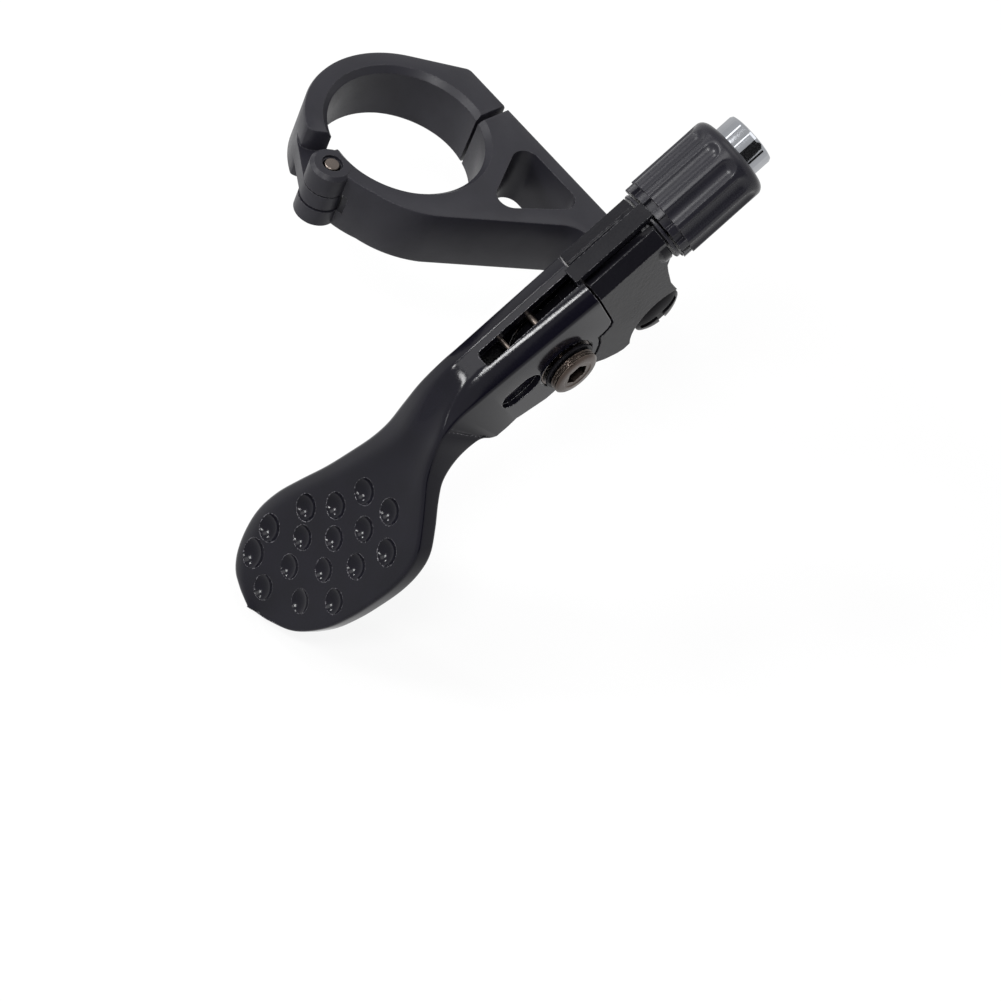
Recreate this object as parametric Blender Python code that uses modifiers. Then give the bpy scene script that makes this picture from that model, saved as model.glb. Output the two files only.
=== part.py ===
"""Dropper post remote lever: hinged handlebar clamp, screwed-on base, sprung thumb lever, barrel adjuster.

Metres, +Z up. The origin is the centre of the handlebar bore, Z is the bore's axis and X is parallel to
the lever's pivot. The lever and its base are drawn in their own tilted frame: x across the lever,
b along the adjuster's axis towards the housing, t up from that axis.
"""

import math

import bmesh
import bpy
from mathutils import Matrix, Vector

# Handlebar clamp
BORE_R = 0.0111
BORE_CHAMFER = 0.0008
RING_WALL = 0.0034
RING_R = BORE_R + RING_WALL
CLAMP_HIGH = 0.0044
CLAMP_LOW = -0.0050
CLAMP_CHAMFER = 0.0005
SHOULDER_RISE = 0.0016
SHOULDER_Y = RING_R + SHOULDER_RISE
SHOULDER_LENGTH = 0.0052
SHOULDER_CORNER = 0.0014
JAW_END = 246
SPLIT_X = 0.0028
SPLIT_GAP = 0.0006

# Hinge between the arm and the jaw
HINGE_X = 0.00048
HINGE_Y = -0.01413
KNUCKLE_R = 0.0030
KNUCKLE_PROUD = 0.0001
TONGUE_LOW = -0.0017
TONGUE_HIGH = 0.0007
HINGE_PIN_R = 0.00105
POCKET_REACH = 0.0039

# Arm and its window
ARM_RING_WALL = 0.0030
ARM_RING_R = BORE_R + ARM_RING_WALL
ARM_SWELL = 0.0017
ARM_LINE_X = 0.0145
ARM_LINE_Y = -0.0065
ARM_ANGLE = 59.8
ARM_TOP_Y = SHOULDER_Y
ARM_BOTTOM_Y = 0.0110
ARM_FILLET = 0.0050
ARM_BAR_END = 0.0312
ARM_BOSS_R = 0.0042
ARM_BOSS_END = 0.0343
WINDOW_CORNERS = ((0.0083, 0.0138, 0.0021), (0.0162, 0.0010, 0.0021), (0.0226, 0.0138, 0.0021))

# Clamp bolt
CLAMP_BOLT_R = 0.0014
CLAMP_BOLT_Y = 0.0132
CLAMP_BOLT_HEAD_R = 0.0025
CLAMP_BOLT_HEAD = 0.0026
CLAMP_BOLT_SEAT = -0.0046
CLAMP_BOLT_REACH = 0.0030
CLAMP_SWING_ROOM = 0.00055

# Lever frame: the adjuster's axis crosses the lever's middle plane at this place and slope
AXIS_X = 0.03577
AXIS_RISE = 0.00831
AXIS_SLOPE = 38.3

# Base
HALF_WIDTH = 0.00423
TOP_T = 0.0045
SHOULDER_T = 0.00316
TOP_HALF = 0.00227
BASE_START = 0.0053
BASE_END = 0.0165
BOSS_R = 0.00475
BOSS_START = 0.0152
GROOVE_HALF = 0.00118
TONGUE_SIDE = 0.00245
TONGUE_END_SIDE = -0.0001
TONGUE_ROOT = 0.0019
TONGUE_R = 0.0042
EAR_R = 0.0038
EAR_LOW = -0.0012
EAR_HIGH = 0.00133
SPOT_FACE_R = 0.0059

# Screw that holds the base to the arm
SCREW_B = 0.01135
SCREW_T = -0.01728
SCREW_R = 0.0020
SCREW_HEAD_R = 0.00375
SCREW_HEAD = 0.0021
SCREW_DOME = 0.0009
SCREW_REACH = 0.0075
SLOT_WIDTH = 0.0011
SLOT_DEPTH = 0.0010

# Pivot
PIVOT_B = -0.00294
PIVOT_T = -0.00656
PIVOT_R = 0.0020
SLEEVE_WALL = 0.0006
BEARING_R = 0.0041
PIVOT_HEAD_R = 0.0035
PIVOT_HEAD = 0.0013
PIVOT_FACE = 0.00613
WASHER_R = 0.0039
WASHER = 0.00045
NUT_ACROSS = 0.0065
NUT = 0.0016
HEX_KEY = 0.0030

# Lever
LEVER_END = 0.0050
LEVER_TIP_TAPER = 0.037
ROOF = 0.0016
CHANNEL_HALF = 0.00275
SLOT_START = -0.01135
CHEEK_BOTTOM = -0.0098
PIVOT_BOSS_R = 0.0053
CABLE_HOLE_B = -0.00995
CABLE_HOLE_T = -0.0038
CABLE_HOLE_LENGTH = 0.0064
CABLE_HOLE_WIDTH = 0.0044
GUIDE_PIN_B = -0.00284
GUIDE_PIN_T = 0.0022
GUIDE_PIN_R = 0.00048
GUIDE_PIN_HALF = 0.0033
PADDLE_B = -0.0250
PADDLE_T = -0.0001
PADDLE_PITCH = 32.4
PADDLE_ROLL = 13.2
PADDLE_SWEEP = 8.0
PADDLE_THICKNESS = 0.0029
TIP_THICKNESS = 0.0019
PADDLE_DISH = 0.0003

# Grip dimples, on four arcs about one centre of the layout plane
DIMPLE_CENTRE = (-0.0082, -0.0336)
DIMPLE_FIRST_R = 0.0091
DIMPLE_PITCH = 0.0041
DIMPLE_ARCS = ((-4, -56, 3), (0, -72, 5), (-12, -73, 5), (-36, -63, 3))
DIMPLE_BALL_R = 0.0020
DIMPLE_R = 0.00183

# Return spring
WIRE_R = 0.00033
COIL_R = 0.00335
COIL_START_X = 0.0005
COIL_PITCH = 0.00076
COIL_TURNS = 2
COIL_STEPS = 12
BAR_B = -0.00763
BAR_T = 0.0023
BAR_END_X = -0.0020

# Barrel adjuster
THREAD_R = 0.0025
CABLE_R = 0.0010
THREAD_START = 0.0056
COUNTERBORE_R = 0.0035
COUNTERBORE_START = 0.0100
DETENT_R = 0.0052
DETENT_START = 0.0168
DETENT_THICKNESS = 0.0005
DETENT_HUB_R = 0.00325
DETENT_HUB = 0.0036
DETENT_WIRE_R = 0.00025
DETENT_COIL_TURNS = 2
GRIP_R = 0.00607
GRIP_START = 0.01755
GRIP_END = 0.0313
GRIP_FLUTES = 12
FLUTE_R = 0.0013
FLUTE_DEPTH = 0.0008
FLUTE_START = 0.0194
FLUTE_END = 0.0301
BARREL_R = 0.00385
BARREL_END = 0.0345
BARREL_FLATS = 8
HOUSING_R = 0.00255
HOUSING_DEPTH = 0.0080

# Clearances between pieces
GAP = 0.0003
FIT = 0.0002
OVER = 0.0010

IDENTITY = Matrix.Identity(4)


def axes_frame(origin, x_axis, y_axis):
    """A frame with its origin and its first two axes given."""
    z_axis = x_axis.cross(y_axis)
    rows = Matrix((x_axis, y_axis, z_axis)).transposed().to_4x4()
    return Matrix.Translation(origin) @ rows


SLOPE = math.radians(AXIS_SLOPE)
ALONG = Vector((0, math.cos(SLOPE), math.sin(SLOPE)))
UP = Vector((0, -math.sin(SLOPE), math.cos(SLOPE)))
LEVER_FRAME = axes_frame(Vector((AXIS_X, 0, 0)) + AXIS_RISE * UP, Vector((1, 0, 0)), ALONG)
SIDE_FRAME = LEVER_FRAME @ axes_frame(Vector(), Vector((0, 1, 0)), Vector((0, 0, 1)))
BARREL_FRAME = LEVER_FRAME @ axes_frame(Vector(), Vector((0, 0, 1)), Vector((1, 0, 0)))
PIVOT_FRAME = SIDE_FRAME @ Matrix.Translation((PIVOT_B, PIVOT_T, 0))
SCREW_FRAME = SIDE_FRAME @ Matrix.Translation((SCREW_B, SCREW_T, 0))
HINGE_FRAME = Matrix.Translation((HINGE_X, HINGE_Y, 0))
CLAMP_BOLT_FRAME = axes_frame(Vector((0, CLAMP_BOLT_Y, 0)), Vector((0, 1, 0)), Vector((0, 0, 1)))


def clear_scene():
    """Removes what the startup scene holds."""
    for thing in list(bpy.data.objects):
        bpy.data.objects.remove(thing)


def make_collection(name):
    """A new collection under the scene's own."""
    collection = bpy.data.collections.new(name)
    bpy.context.scene.collection.children.link(collection)
    return collection


def make_material(name, colour, roughness, metallic):
    """A Principled material of one colour."""
    material = bpy.data.materials.new(name)
    material.use_nodes = True
    shader = material.node_tree.nodes["Principled BSDF"]
    shader.inputs["Base Color"].default_value = (*colour, 1.0)
    shader.inputs["Roughness"].default_value = roughness
    shader.inputs["Metallic"].default_value = metallic
    return material


def polar(centre, radius, degrees):
    """The point at an angle on a circle."""
    angle = math.radians(degrees)
    return (centre[0] + radius * math.cos(angle), centre[1] + radius * math.sin(angle))


def arc(centre, radius, start, end, steps=10):
    """Points along a circle from one angle to another."""
    return [polar(centre, radius, start + (end - start) * step / steps) for step in range(steps + 1)]


def rounded(corners, steps=5):
    """A closed outline with straight sides, from (x, y, fillet radius) corners."""
    points = []
    for index, (x, y, radius) in enumerate(corners):
        corner = Vector((x, y))
        before = (Vector(corners[index - 1][:2]) - corner).normalized()
        after = (Vector(corners[(index + 1) % len(corners)][:2]) - corner).normalized()
        if radius <= 0:
            points.append(tuple(corner))
            continue
        half = before.angle(after) / 2
        centre = corner + (before + after).normalized() * radius / math.sin(half)
        first = corner + before * radius / math.tan(half) - centre
        last = corner + after * radius / math.tan(half) - centre
        sweep = first.angle_signed(last)
        for step in range(steps + 1):
            points.append(tuple(centre + Matrix.Rotation(-sweep * step / steps, 2) @ first))
    return points


def spline(keys, count):
    """Points on a smooth curve through the keys, evenly spread over them."""
    keys = [Vector(key) for key in keys]
    ends = [2 * keys[0] - keys[1]] + keys + [2 * keys[-1] - keys[-2]]
    points = []
    for step in range(count):
        place = step * (len(keys) - 1) / (count - 1)
        span = min(int(place), len(keys) - 2)
        u = place - span
        a, b, c, d = ends[span : span + 4]
        curve = 2 * b + (c - a) * u + (2 * a - 5 * b + 4 * c - d) * u**2 + (3 * b - a - 3 * c + d) * u**3
        points.append(curve / 2)
    return points


class Shop:
    """Makes mesh objects and keeps them in the part's or the cutters' collection."""

    def __init__(self, part_name):
        self.parts = make_collection(part_name)
        self.cutters = make_collection("cutters")

    def add(self, name, mesh, frame):
        """Links a mesh as an object at a frame, with its faces pointing out."""
        shape = bmesh.new()
        shape.from_mesh(mesh)
        bmesh.ops.remove_doubles(shape, verts=shape.verts, dist=1e-7)
        bmesh.ops.recalc_face_normals(shape, faces=shape.faces)
        shape.to_mesh(mesh)
        shape.free()
        thing = bpy.data.objects.new(name, mesh)
        self.parts.objects.link(thing)
        thing.matrix_world = frame
        return thing

    def realise(self, name, source, frame):
        """Turns a curve or a modified object into a plain mesh object."""
        self.parts.objects.link(source)
        graph = bpy.context.evaluated_depsgraph_get()
        mesh = bpy.data.meshes.new_from_object(source.evaluated_get(graph))
        data = source.data
        bpy.data.objects.remove(source)
        if isinstance(data, bpy.types.Mesh):
            bpy.data.meshes.remove(data)
        else:
            bpy.data.curves.remove(data)
        return self.add(name, mesh, frame)

    def prism(self, name, outline, low, high, frame=IDENTITY, chamfer=0.0):
        """A flat outline in the frame's xy plane, given a thickness along its z."""
        curve = bpy.data.curves.new(name, "CURVE")
        curve.dimensions = "2D"
        curve.fill_mode = "BOTH"
        curve.extrude = (high - low) / 2 - chamfer
        curve.bevel_depth = chamfer
        curve.bevel_resolution = 0
        curve.offset = -chamfer
        line = curve.splines.new("POLY")
        line.points.add(len(outline) - 1)
        for point, (x, y) in zip(line.points, outline):
            point.co = (x, y, 0, 1)
        line.use_cyclic_u = True
        source = bpy.data.objects.new(name, curve)
        return self.realise(name, source, frame @ Matrix.Translation((0, 0, (low + high) / 2)))

    def turned(self, name, profile, frame=IDENTITY, steps=36):
        """A profile of (radius, height) points, top to bottom, turned about the frame's z axis."""
        mesh = bpy.data.meshes.new(name)
        edges = [(index, index + 1) for index in range(len(profile) - 1)]
        if profile[0][0] > 0:
            edges.append((len(profile) - 1, 0))
        mesh.from_pydata([(radius, 0, height) for radius, height in profile], edges, [])
        source = bpy.data.objects.new(name, mesh)
        screw = source.modifiers.new("turn", "SCREW")
        screw.steps = steps
        screw.render_steps = steps
        screw.use_merge_vertices = True
        screw.merge_threshold = 1e-5
        return self.realise(name, source, frame)

    def rod(self, name, radius, low, high, frame=IDENTITY, sides=32):
        """A cylinder along the frame's z axis."""
        shape = bmesh.new()
        bmesh.ops.create_cone(
            shape, cap_ends=True, segments=sides, radius1=radius, radius2=radius, depth=high - low
        )
        mesh = bpy.data.meshes.new(name)
        shape.to_mesh(mesh)
        shape.free()
        return self.add(name, mesh, frame @ Matrix.Translation((0, 0, (low + high) / 2)))

    def box(self, name, low, high, frame=IDENTITY):
        """A box between two corners."""
        shape = bmesh.new()
        bmesh.ops.create_cube(shape, size=1)
        size = [b - a for a, b in zip(low, high)]
        middle = [(a + b) / 2 for a, b in zip(low, high)]
        bmesh.ops.scale(shape, vec=size, verts=shape.verts)
        bmesh.ops.translate(shape, vec=middle, verts=shape.verts)
        mesh = bpy.data.meshes.new(name)
        shape.to_mesh(mesh)
        shape.free()
        return self.add(name, mesh, frame)

    def wire(self, name, points, radius, frame=IDENTITY):
        """A round wire through a list of points."""
        curve = bpy.data.curves.new(name, "CURVE")
        curve.dimensions = "3D"
        curve.bevel_depth = radius
        curve.bevel_resolution = 1
        curve.use_fill_caps = True
        line = curve.splines.new("POLY")
        line.points.add(len(points) - 1)
        for point, place in zip(line.points, points):
            point.co = (*place, 1)
        return self.realise(name, bpy.data.objects.new(name, curve), frame)

    def boolean(self, thing, tool, operation):
        """Cuts, joins or intersects a piece with a tool, which then leaves the part."""
        modifier = thing.modifiers.new(tool.name, "BOOLEAN")
        modifier.operation = operation
        modifier.solver = "EXACT"
        modifier.object = tool
        self.parts.objects.unlink(tool)
        self.cutters.objects.link(tool)
        tool.hide_render = True
        tool.display_type = "WIRE"

    def cut(self, thing, tool):
        """Takes the tool's shape out of a piece."""
        self.boolean(thing, tool, "DIFFERENCE")

    def join(self, thing, tool):
        """Joins the tool's shape to a piece."""
        self.boolean(thing, tool, "UNION")

    def keep(self, thing, tool):
        """Keeps only what a piece shares with the tool."""
        self.boolean(thing, tool, "INTERSECT")


def tube_profile(inner, outer, low, high):
    """The closed profile of a plain ring, top to bottom on its outer side."""
    return [(outer, high), (outer, low), (inner, low), (inner, high)]


def bore_cutter(shop, name):
    """The handlebar's bore with its chamfered edges."""
    wide = BORE_R + BORE_CHAMFER + OVER
    profile = [(0, CLAMP_HIGH + OVER), (wide, CLAMP_HIGH + OVER), (BORE_R, CLAMP_HIGH - BORE_CHAMFER)]
    profile += [(BORE_R, CLAMP_LOW + BORE_CHAMFER), (wide, CLAMP_LOW - OVER), (0, CLAMP_LOW - OVER)]
    return shop.turned(name, profile, steps=56)


def arm_outline():
    """The arm and its half of the ring, seen along the bore."""
    hinge = (HINGE_X, HINGE_Y)
    split = SPLIT_X + SPLIT_GAP / 2
    rise = math.radians(ARM_ANGLE)
    run = (ARM_BOTTOM_Y - ARM_LINE_Y) / math.tan(rise)
    swell = []
    for step in range(7):
        share = step / 6
        swell.append(polar((0, 0), ARM_RING_R + ARM_SWELL * share, -60 + 35 * share))
    corners = [(ARM_LINE_X, ARM_LINE_Y, 0), (ARM_LINE_X + run, ARM_BOTTOM_Y, ARM_FILLET)]
    corners += [(ARM_BAR_END, ARM_BOTTOM_Y, 0), (ARM_BAR_END, ARM_TOP_Y, 0)]
    bar = rounded(corners)[1:]
    ring = arc((0, 0), ARM_RING_R, -76, -63, 3)
    knuckle = [polar(hinge, KNUCKLE_R * 0.8, 195), polar(hinge, KNUCKLE_R * 0.8, -70)]
    inside = [(split, ARM_TOP_Y), (split, BORE_R * 0.8), (-BORE_R * 0.12, -BORE_R * 0.9)]
    return knuckle + ring + swell + bar + inside


def make_clamp_arm(shop):
    """Fixed half of the clamp, with the arm that carries the base."""
    high = CLAMP_HIGH
    low = CLAMP_LOW
    arm = shop.prism("clamp_arm", arm_outline(), low, high, chamfer=CLAMP_CHAMFER)
    proud = KNUCKLE_PROUD
    face = KNUCKLE_R - CLAMP_CHAMFER
    knuckle = [(0, high + proud), (face, high + proud), (KNUCKLE_R, high + proud - CLAMP_CHAMFER)]
    knuckle += [(KNUCKLE_R, low - proud + CLAMP_CHAMFER), (face, low - proud), (0, low - proud)]
    shop.join(arm, shop.turned("arm_knuckle", knuckle, HINGE_FRAME))
    boss_start = ARM_BAR_END - ARM_BOSS_R * 1.2
    boss_frame = SCREW_FRAME @ Matrix.Translation((0, 0, -AXIS_X))
    boss = [(0, ARM_BOSS_END), (ARM_BOSS_R, ARM_BOSS_END), (ARM_BOSS_R, boss_start)]
    boss += [(0, boss_start - ARM_BOSS_R)]
    shop.join(arm, shop.turned("arm_boss", boss, boss_frame))
    shop.cut(arm, bore_cutter(shop, "arm_bore"))
    window = rounded(WINDOW_CORNERS, 6)
    shop.cut(arm, shop.prism("arm_window", window, low - OVER, high + OVER))
    pocket_low = TONGUE_LOW - GAP
    pocket_high = TONGUE_HIGH + GAP
    reach = HINGE_X + POCKET_REACH
    below = HINGE_Y - KNUCKLE_R - OVER
    above = HINGE_Y + KNUCKLE_R + OVER
    pocket = shop.box(
        "tongue_pocket", (HINGE_X - KNUCKLE_R * 2, below, pocket_low), (reach, above, pocket_high)
    )
    shop.cut(arm, pocket)
    shop.cut(arm, shop.rod("arm_pin_hole", HINGE_PIN_R + FIT, low - OVER, high + OVER, HINGE_FRAME))
    hole = CLAMP_BOLT_R + FIT
    face = SPLIT_X + SPLIT_GAP / 2
    deep = face + CLAMP_BOLT_REACH + GAP
    slot = arc((CLAMP_BOLT_Y, 0), hole, -90, -270)
    slot += arc((CLAMP_BOLT_Y + CLAMP_SWING_ROOM, 0), hole, 90, -90)
    swing = axes_frame(Vector(), Vector((0, 1, 0)), Vector((0, 0, 1)))
    shop.cut(arm, shop.prism("arm_bolt_hole", slot, face - OVER, deep, swing))
    screw_hole = SCREW_R + FIT
    start = ARM_BOSS_END - SCREW_REACH
    shop.cut(arm, shop.rod("arm_screw_hole", screw_hole, start, ARM_BOSS_END + OVER, boss_frame))
    return arm


def jaw_outline():
    """The hinged half of the ring with its bolt shoulder."""
    face = SPLIT_X - SPLIT_GAP / 2
    lean = math.degrees(math.atan2(SHOULDER_Y, -SHOULDER_LENGTH))
    start = lean + math.degrees(math.acos(RING_R / math.hypot(SHOULDER_LENGTH, SHOULDER_Y)))
    ring = arc((0, 0), RING_R, start, JAW_END - 3, 18)
    corners = [(face, SHOULDER_Y, 0), (-SHOULDER_LENGTH, SHOULDER_Y, SHOULDER_CORNER), (*ring[0], 0)]
    shoulder = rounded(corners, 5)[:-1]
    blunt = [polar((0, 0), RING_R - RING_WALL * 0.12, JAW_END - 0.5)]
    blunt += [polar((0, 0), RING_R - RING_WALL * 0.4, JAW_END + 1.5)]
    inside = [polar((0, 0), BORE_R * 0.85, JAW_END + 5), (face, BORE_R * 0.8)]
    return shoulder + ring + blunt + inside


def tongue_outline():
    """The jaw's middle knuckle, from the ring to round the pin."""
    hinge = (HINGE_X, HINGE_Y)
    radius = KNUCKLE_R - FIT / 2
    outer = [polar((0, 0), RING_R, 225), polar((0, 0), RING_R + FIT, 240)]
    return outer + arc(hinge, radius, 232, 440, 14) + [polar((0, 0), BORE_R * 0.9, 255), (-0.006, -0.0085)]


def make_clamp_jaw(shop):
    """Hinged half of the clamp."""
    jaw = shop.prism("clamp_jaw", jaw_outline(), CLAMP_LOW, CLAMP_HIGH, chamfer=CLAMP_CHAMFER)
    shop.join(jaw, shop.prism("jaw_tongue", tongue_outline(), TONGUE_LOW, TONGUE_HIGH))
    shop.cut(jaw, bore_cutter(shop, "jaw_bore"))
    shop.cut(jaw, shop.rod("jaw_pin_hole", HINGE_PIN_R + FIT, CLAMP_LOW, CLAMP_HIGH, HINGE_FRAME))
    hole = CLAMP_BOLT_R + FIT
    face = SPLIT_X + OVER
    shop.cut(jaw, shop.rod("jaw_bolt_hole", hole, CLAMP_BOLT_SEAT - OVER, face, CLAMP_BOLT_FRAME))
    seat = CLAMP_BOLT_HEAD_R + GAP
    end = CLAMP_BOLT_SEAT - CLAMP_BOLT_HEAD * 3
    shop.cut(jaw, shop.rod("jaw_bolt_seat", seat, end, CLAMP_BOLT_SEAT, CLAMP_BOLT_FRAME))
    return jaw


def make_clamp_bolt(shop):
    """Socket screw that closes the jaw on the arm, with its head on the far side."""
    head_low = CLAMP_BOLT_SEAT - FIT - CLAMP_BOLT_HEAD
    head_high = CLAMP_BOLT_SEAT - FIT
    tip = SPLIT_X + SPLIT_GAP / 2 + CLAMP_BOLT_REACH
    edge = CLAMP_CHAMFER / 2
    profile = [(0, tip), (CLAMP_BOLT_R - edge, tip), (CLAMP_BOLT_R, tip - edge), (CLAMP_BOLT_R, head_high)]
    profile += [(CLAMP_BOLT_HEAD_R, head_high), (CLAMP_BOLT_HEAD_R, head_low + edge)]
    profile += [(CLAMP_BOLT_HEAD_R - edge, head_low), (0, head_low)]
    bolt = shop.turned("clamp_bolt", profile, CLAMP_BOLT_FRAME, 28)
    socket = CLAMP_BOLT_HEAD_R / 2
    depth = head_low + CLAMP_BOLT_HEAD * 0.55
    shop.cut(bolt, shop.rod("clamp_bolt_socket", socket, head_low - OVER, depth, CLAMP_BOLT_FRAME, 6))
    return bolt


def make_hinge_pin(shop):
    """Pin through the three knuckles."""
    return shop.rod("hinge_pin", HINGE_PIN_R, CLAMP_LOW, CLAMP_HIGH, HINGE_FRAME, 24)


def base_outline():
    """The base seen from the side, in (b, t), with the ear under the screw's head."""
    screw = (SCREW_B, SCREW_T)
    pivot = (PIVOT_B, PIVOT_T)
    clear = PIVOT_BOSS_R + GAP
    right = [(BASE_END, TOP_T), (BASE_END, -0.0010), (0.0161, -0.0021), (0.0153, -0.0035)]
    right += [(0.0150, -0.0053), (0.0146, -0.0090), (0.0147, -0.0111), (0.0151, -0.0140)]
    ear = arc(screw, EAR_R, 15, -165, 14)
    lump = [(0.0066, -0.0162), (0.0057, -0.0160), (0.0045, -0.0161), (0.0034, -0.0156), (0.0016, -0.0142)]
    notch = arc(pivot, clear, -66, -5, 8)
    corner = [(0.0034, -0.0070), (0.0047, -0.0066), (0.0052, -0.0060), (BASE_START, -0.0052)]
    return right + ear + lump + notch + corner + [(BASE_START, TOP_T)]


def roof_section(half_width):
    """The cross-section shared by the base's and the lever's top, in (t, x)."""
    return [
        (-0.03, half_width),
        (SHOULDER_T, half_width),
        (TOP_T, TOP_HALF),
        (TOP_T, -TOP_HALF),
        (SHOULDER_T, -half_width),
        (-0.03, -half_width),
    ]


def make_lever_base(shop):
    """Base: pivot tongue, screw ear and the threaded boss of the adjuster."""
    wide = HALF_WIDTH + OVER
    base = shop.prism("lever_base", base_outline(), -HALF_WIDTH, HALF_WIDTH, SIDE_FRAME)
    section = shop.prism("base_section", roof_section(HALF_WIDTH), -0.01, BASE_END + OVER, BARREL_FRAME)
    shop.keep(base, section)
    boss = [(0, BASE_END), (BOSS_R - FIT, BASE_END), (BOSS_R, BASE_END - FIT)]
    boss += [(BOSS_R, BOSS_START), (BOSS_R - OVER, BOSS_START - OVER), (0, BOSS_START - OVER)]
    shop.join(base, shop.turned("base_boss", boss, BARREL_FRAME))
    pivot = (PIVOT_B, PIVOT_T)
    reach = BASE_START + OVER
    root = [(TONGUE_ROOT, -0.0016), (reach, -0.0012), (reach, -0.0100), (TONGUE_ROOT, -0.0118)]
    shop.join(base, shop.prism("tongue_root", root, -TONGUE_SIDE, TONGUE_SIDE, SIDE_FRAME))
    deep = TONGUE_ROOT + OVER
    tongue = arc(pivot, TONGUE_R, 88, 272, 16) + [(deep, -0.0113), (deep, -0.0019)]
    shop.join(base, shop.prism("tongue_end", tongue, -TONGUE_SIDE, TONGUE_END_SIDE, SIDE_FRAME))
    sleeve_hole = PIVOT_R + FIT + SLEEVE_WALL + FIT
    shop.cut(base, shop.rod("base_pivot_hole", sleeve_hole, -wide, wide, PIVOT_FRAME))
    near = shop.rod("near_spot_face", SPOT_FACE_R, EAR_HIGH, wide, SCREW_FRAME, 48)
    far = shop.rod("far_spot_face", SPOT_FACE_R, -wide, EAR_LOW, SCREW_FRAME, 48)
    shop.cut(base, near)
    shop.cut(base, far)
    shop.cut(base, shop.rod("base_screw_hole", SCREW_R + FIT, -wide, wide, SCREW_FRAME))
    thread = shop.rod("base_thread", THREAD_R + FIT, BASE_START - OVER, BASE_END, BARREL_FRAME)
    shop.cut(base, thread)
    counterbore = shop.rod(
        "base_counterbore", COUNTERBORE_R, COUNTERBORE_START, BASE_END + OVER, BARREL_FRAME
    )
    shop.cut(base, counterbore)
    low = (-GROOVE_HALF, BASE_START - OVER, 0)
    high = (GROOVE_HALF, BASE_END + OVER, TOP_T + OVER)
    shop.cut(base, shop.box("base_groove", low, high, LEVER_FRAME))
    return base


def make_base_screw(shop):
    """Pan head screw that holds the base to the arm."""
    seat = EAR_HIGH + FIT
    top = seat + SCREW_HEAD
    tip = ARM_BOSS_END - AXIS_X - SCREW_REACH + GAP
    crown = []
    for step in range(5):
        share = step / 4
        crown.append((SCREW_HEAD_R * share, top + SCREW_DOME * (0.12 - share**3) - SCREW_DOME * 0.12))
    profile = crown + [(SCREW_HEAD_R, seat), (SCREW_R, seat), (SCREW_R, tip + FIT)]
    profile += [(SCREW_R - FIT, tip), (0, tip)]
    screw = shop.turned("base_screw", profile, SCREW_FRAME)
    long = SCREW_HEAD_R * 0.83
    half = SLOT_WIDTH / 2
    floor = top - SLOT_DEPTH
    shop.cut(screw, shop.box("screw_slot", (-long, -half, floor), (long, half, top + OVER), SCREW_FRAME))
    reach = SCREW_HEAD_R + OVER
    shop.cut(screw, shop.box("screw_cross", (-half, -reach, floor), (half, 0, top + OVER), SCREW_FRAME))
    return screw


def sleeve_radius():
    """Outer radius of the pivot sleeve."""
    return PIVOT_R + FIT + SLEEVE_WALL


def cheek_outer(b):
    """Distance of the near cheek's outer face from the middle plane."""
    return HALF_WIDTH - LEVER_TIP_TAPER * (LEVER_END - b)


def make_pivot(shop):
    """Pivot bolt with its washers, sleeve, bearings and nut."""
    under = PIVOT_FACE - PIVOT_HEAD
    groove = PIVOT_FACE - PIVOT_HEAD / 2
    nut_top = -HALF_WIDTH - 2 * FIT - WASHER
    end = nut_top - NUT - FIT
    rim = PIVOT_HEAD_R
    step = FIT / 2
    profile = [(0, PIVOT_FACE), (rim - 3 * step, PIVOT_FACE), (rim, PIVOT_FACE - 3 * step)]
    profile += [(rim, groove + step), (rim - step, groove), (rim, groove - step), (rim, under)]
    profile += [(PIVOT_R, under), (PIVOT_R, end + step), (PIVOT_R - step, end), (0, end)]
    bolt = shop.turned("pivot_bolt", profile, PIVOT_FRAME)
    key = HEX_KEY / 2 / math.cos(math.radians(30))
    shop.cut(bolt, shop.rod("pivot_socket", key, PIVOT_FACE - 0.0018, PIVOT_FACE + OVER, PIVOT_FRAME, 6))
    hole = PIVOT_R + FIT
    washer_top = under - FIT
    washer = tube_profile(hole, WASHER_R, washer_top - WASHER, washer_top)
    far_top = -HALF_WIDTH - FIT
    far = tube_profile(hole, WASHER_R, far_top - WASHER, far_top)
    inside = CHANNEL_HALF - GAP
    sleeve = tube_profile(hole, sleeve_radius(), -inside, inside)
    near_face = cheek_outer(PIVOT_B) - FIT
    near = tube_profile(hole, BEARING_R, CHANNEL_HALF, near_face)
    far_face = -HALF_WIDTH + FIT
    far_ring = tube_profile(hole, BEARING_R, far_face, -CHANNEL_HALF)
    pieces = {"pivot_bolt": bolt}
    pieces["pivot_washer"] = shop.turned("pivot_washer", washer, PIVOT_FRAME)
    pieces["far_washer"] = shop.turned("far_washer", far, PIVOT_FRAME)
    pieces["pivot_sleeve"] = shop.turned("pivot_sleeve", sleeve, PIVOT_FRAME, 32)
    pieces["near_bearing"] = shop.turned("near_bearing", near, PIVOT_FRAME)
    pieces["far_bearing"] = shop.turned("far_bearing", far_ring, PIVOT_FRAME)
    across = NUT_ACROSS / 2 / math.cos(math.radians(30))
    nut = shop.rod("pivot_nut", across, nut_top - NUT, nut_top, PIVOT_FRAME, 6)
    shop.cut(nut, shop.rod("nut_hole", hole, nut_top - NUT - OVER, nut_top + OVER, PIVOT_FRAME))
    pieces["pivot_nut"] = nut
    return pieces


def paddle_axes():
    """The paddle's along, across and up directions in the lever's frame."""
    turn = Matrix.Rotation(math.radians(PADDLE_PITCH), 3, "X")
    along = turn @ Vector((0, -1, 0))
    across = Vector((1, 0, 0))
    up = across.cross(-along)
    roll = Matrix.Rotation(math.radians(PADDLE_ROLL), 3, along)
    sweep = Matrix.Rotation(math.radians(PADDLE_SWEEP), 3, roll @ up)
    return sweep @ along, sweep @ roll @ across, roll @ up


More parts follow.
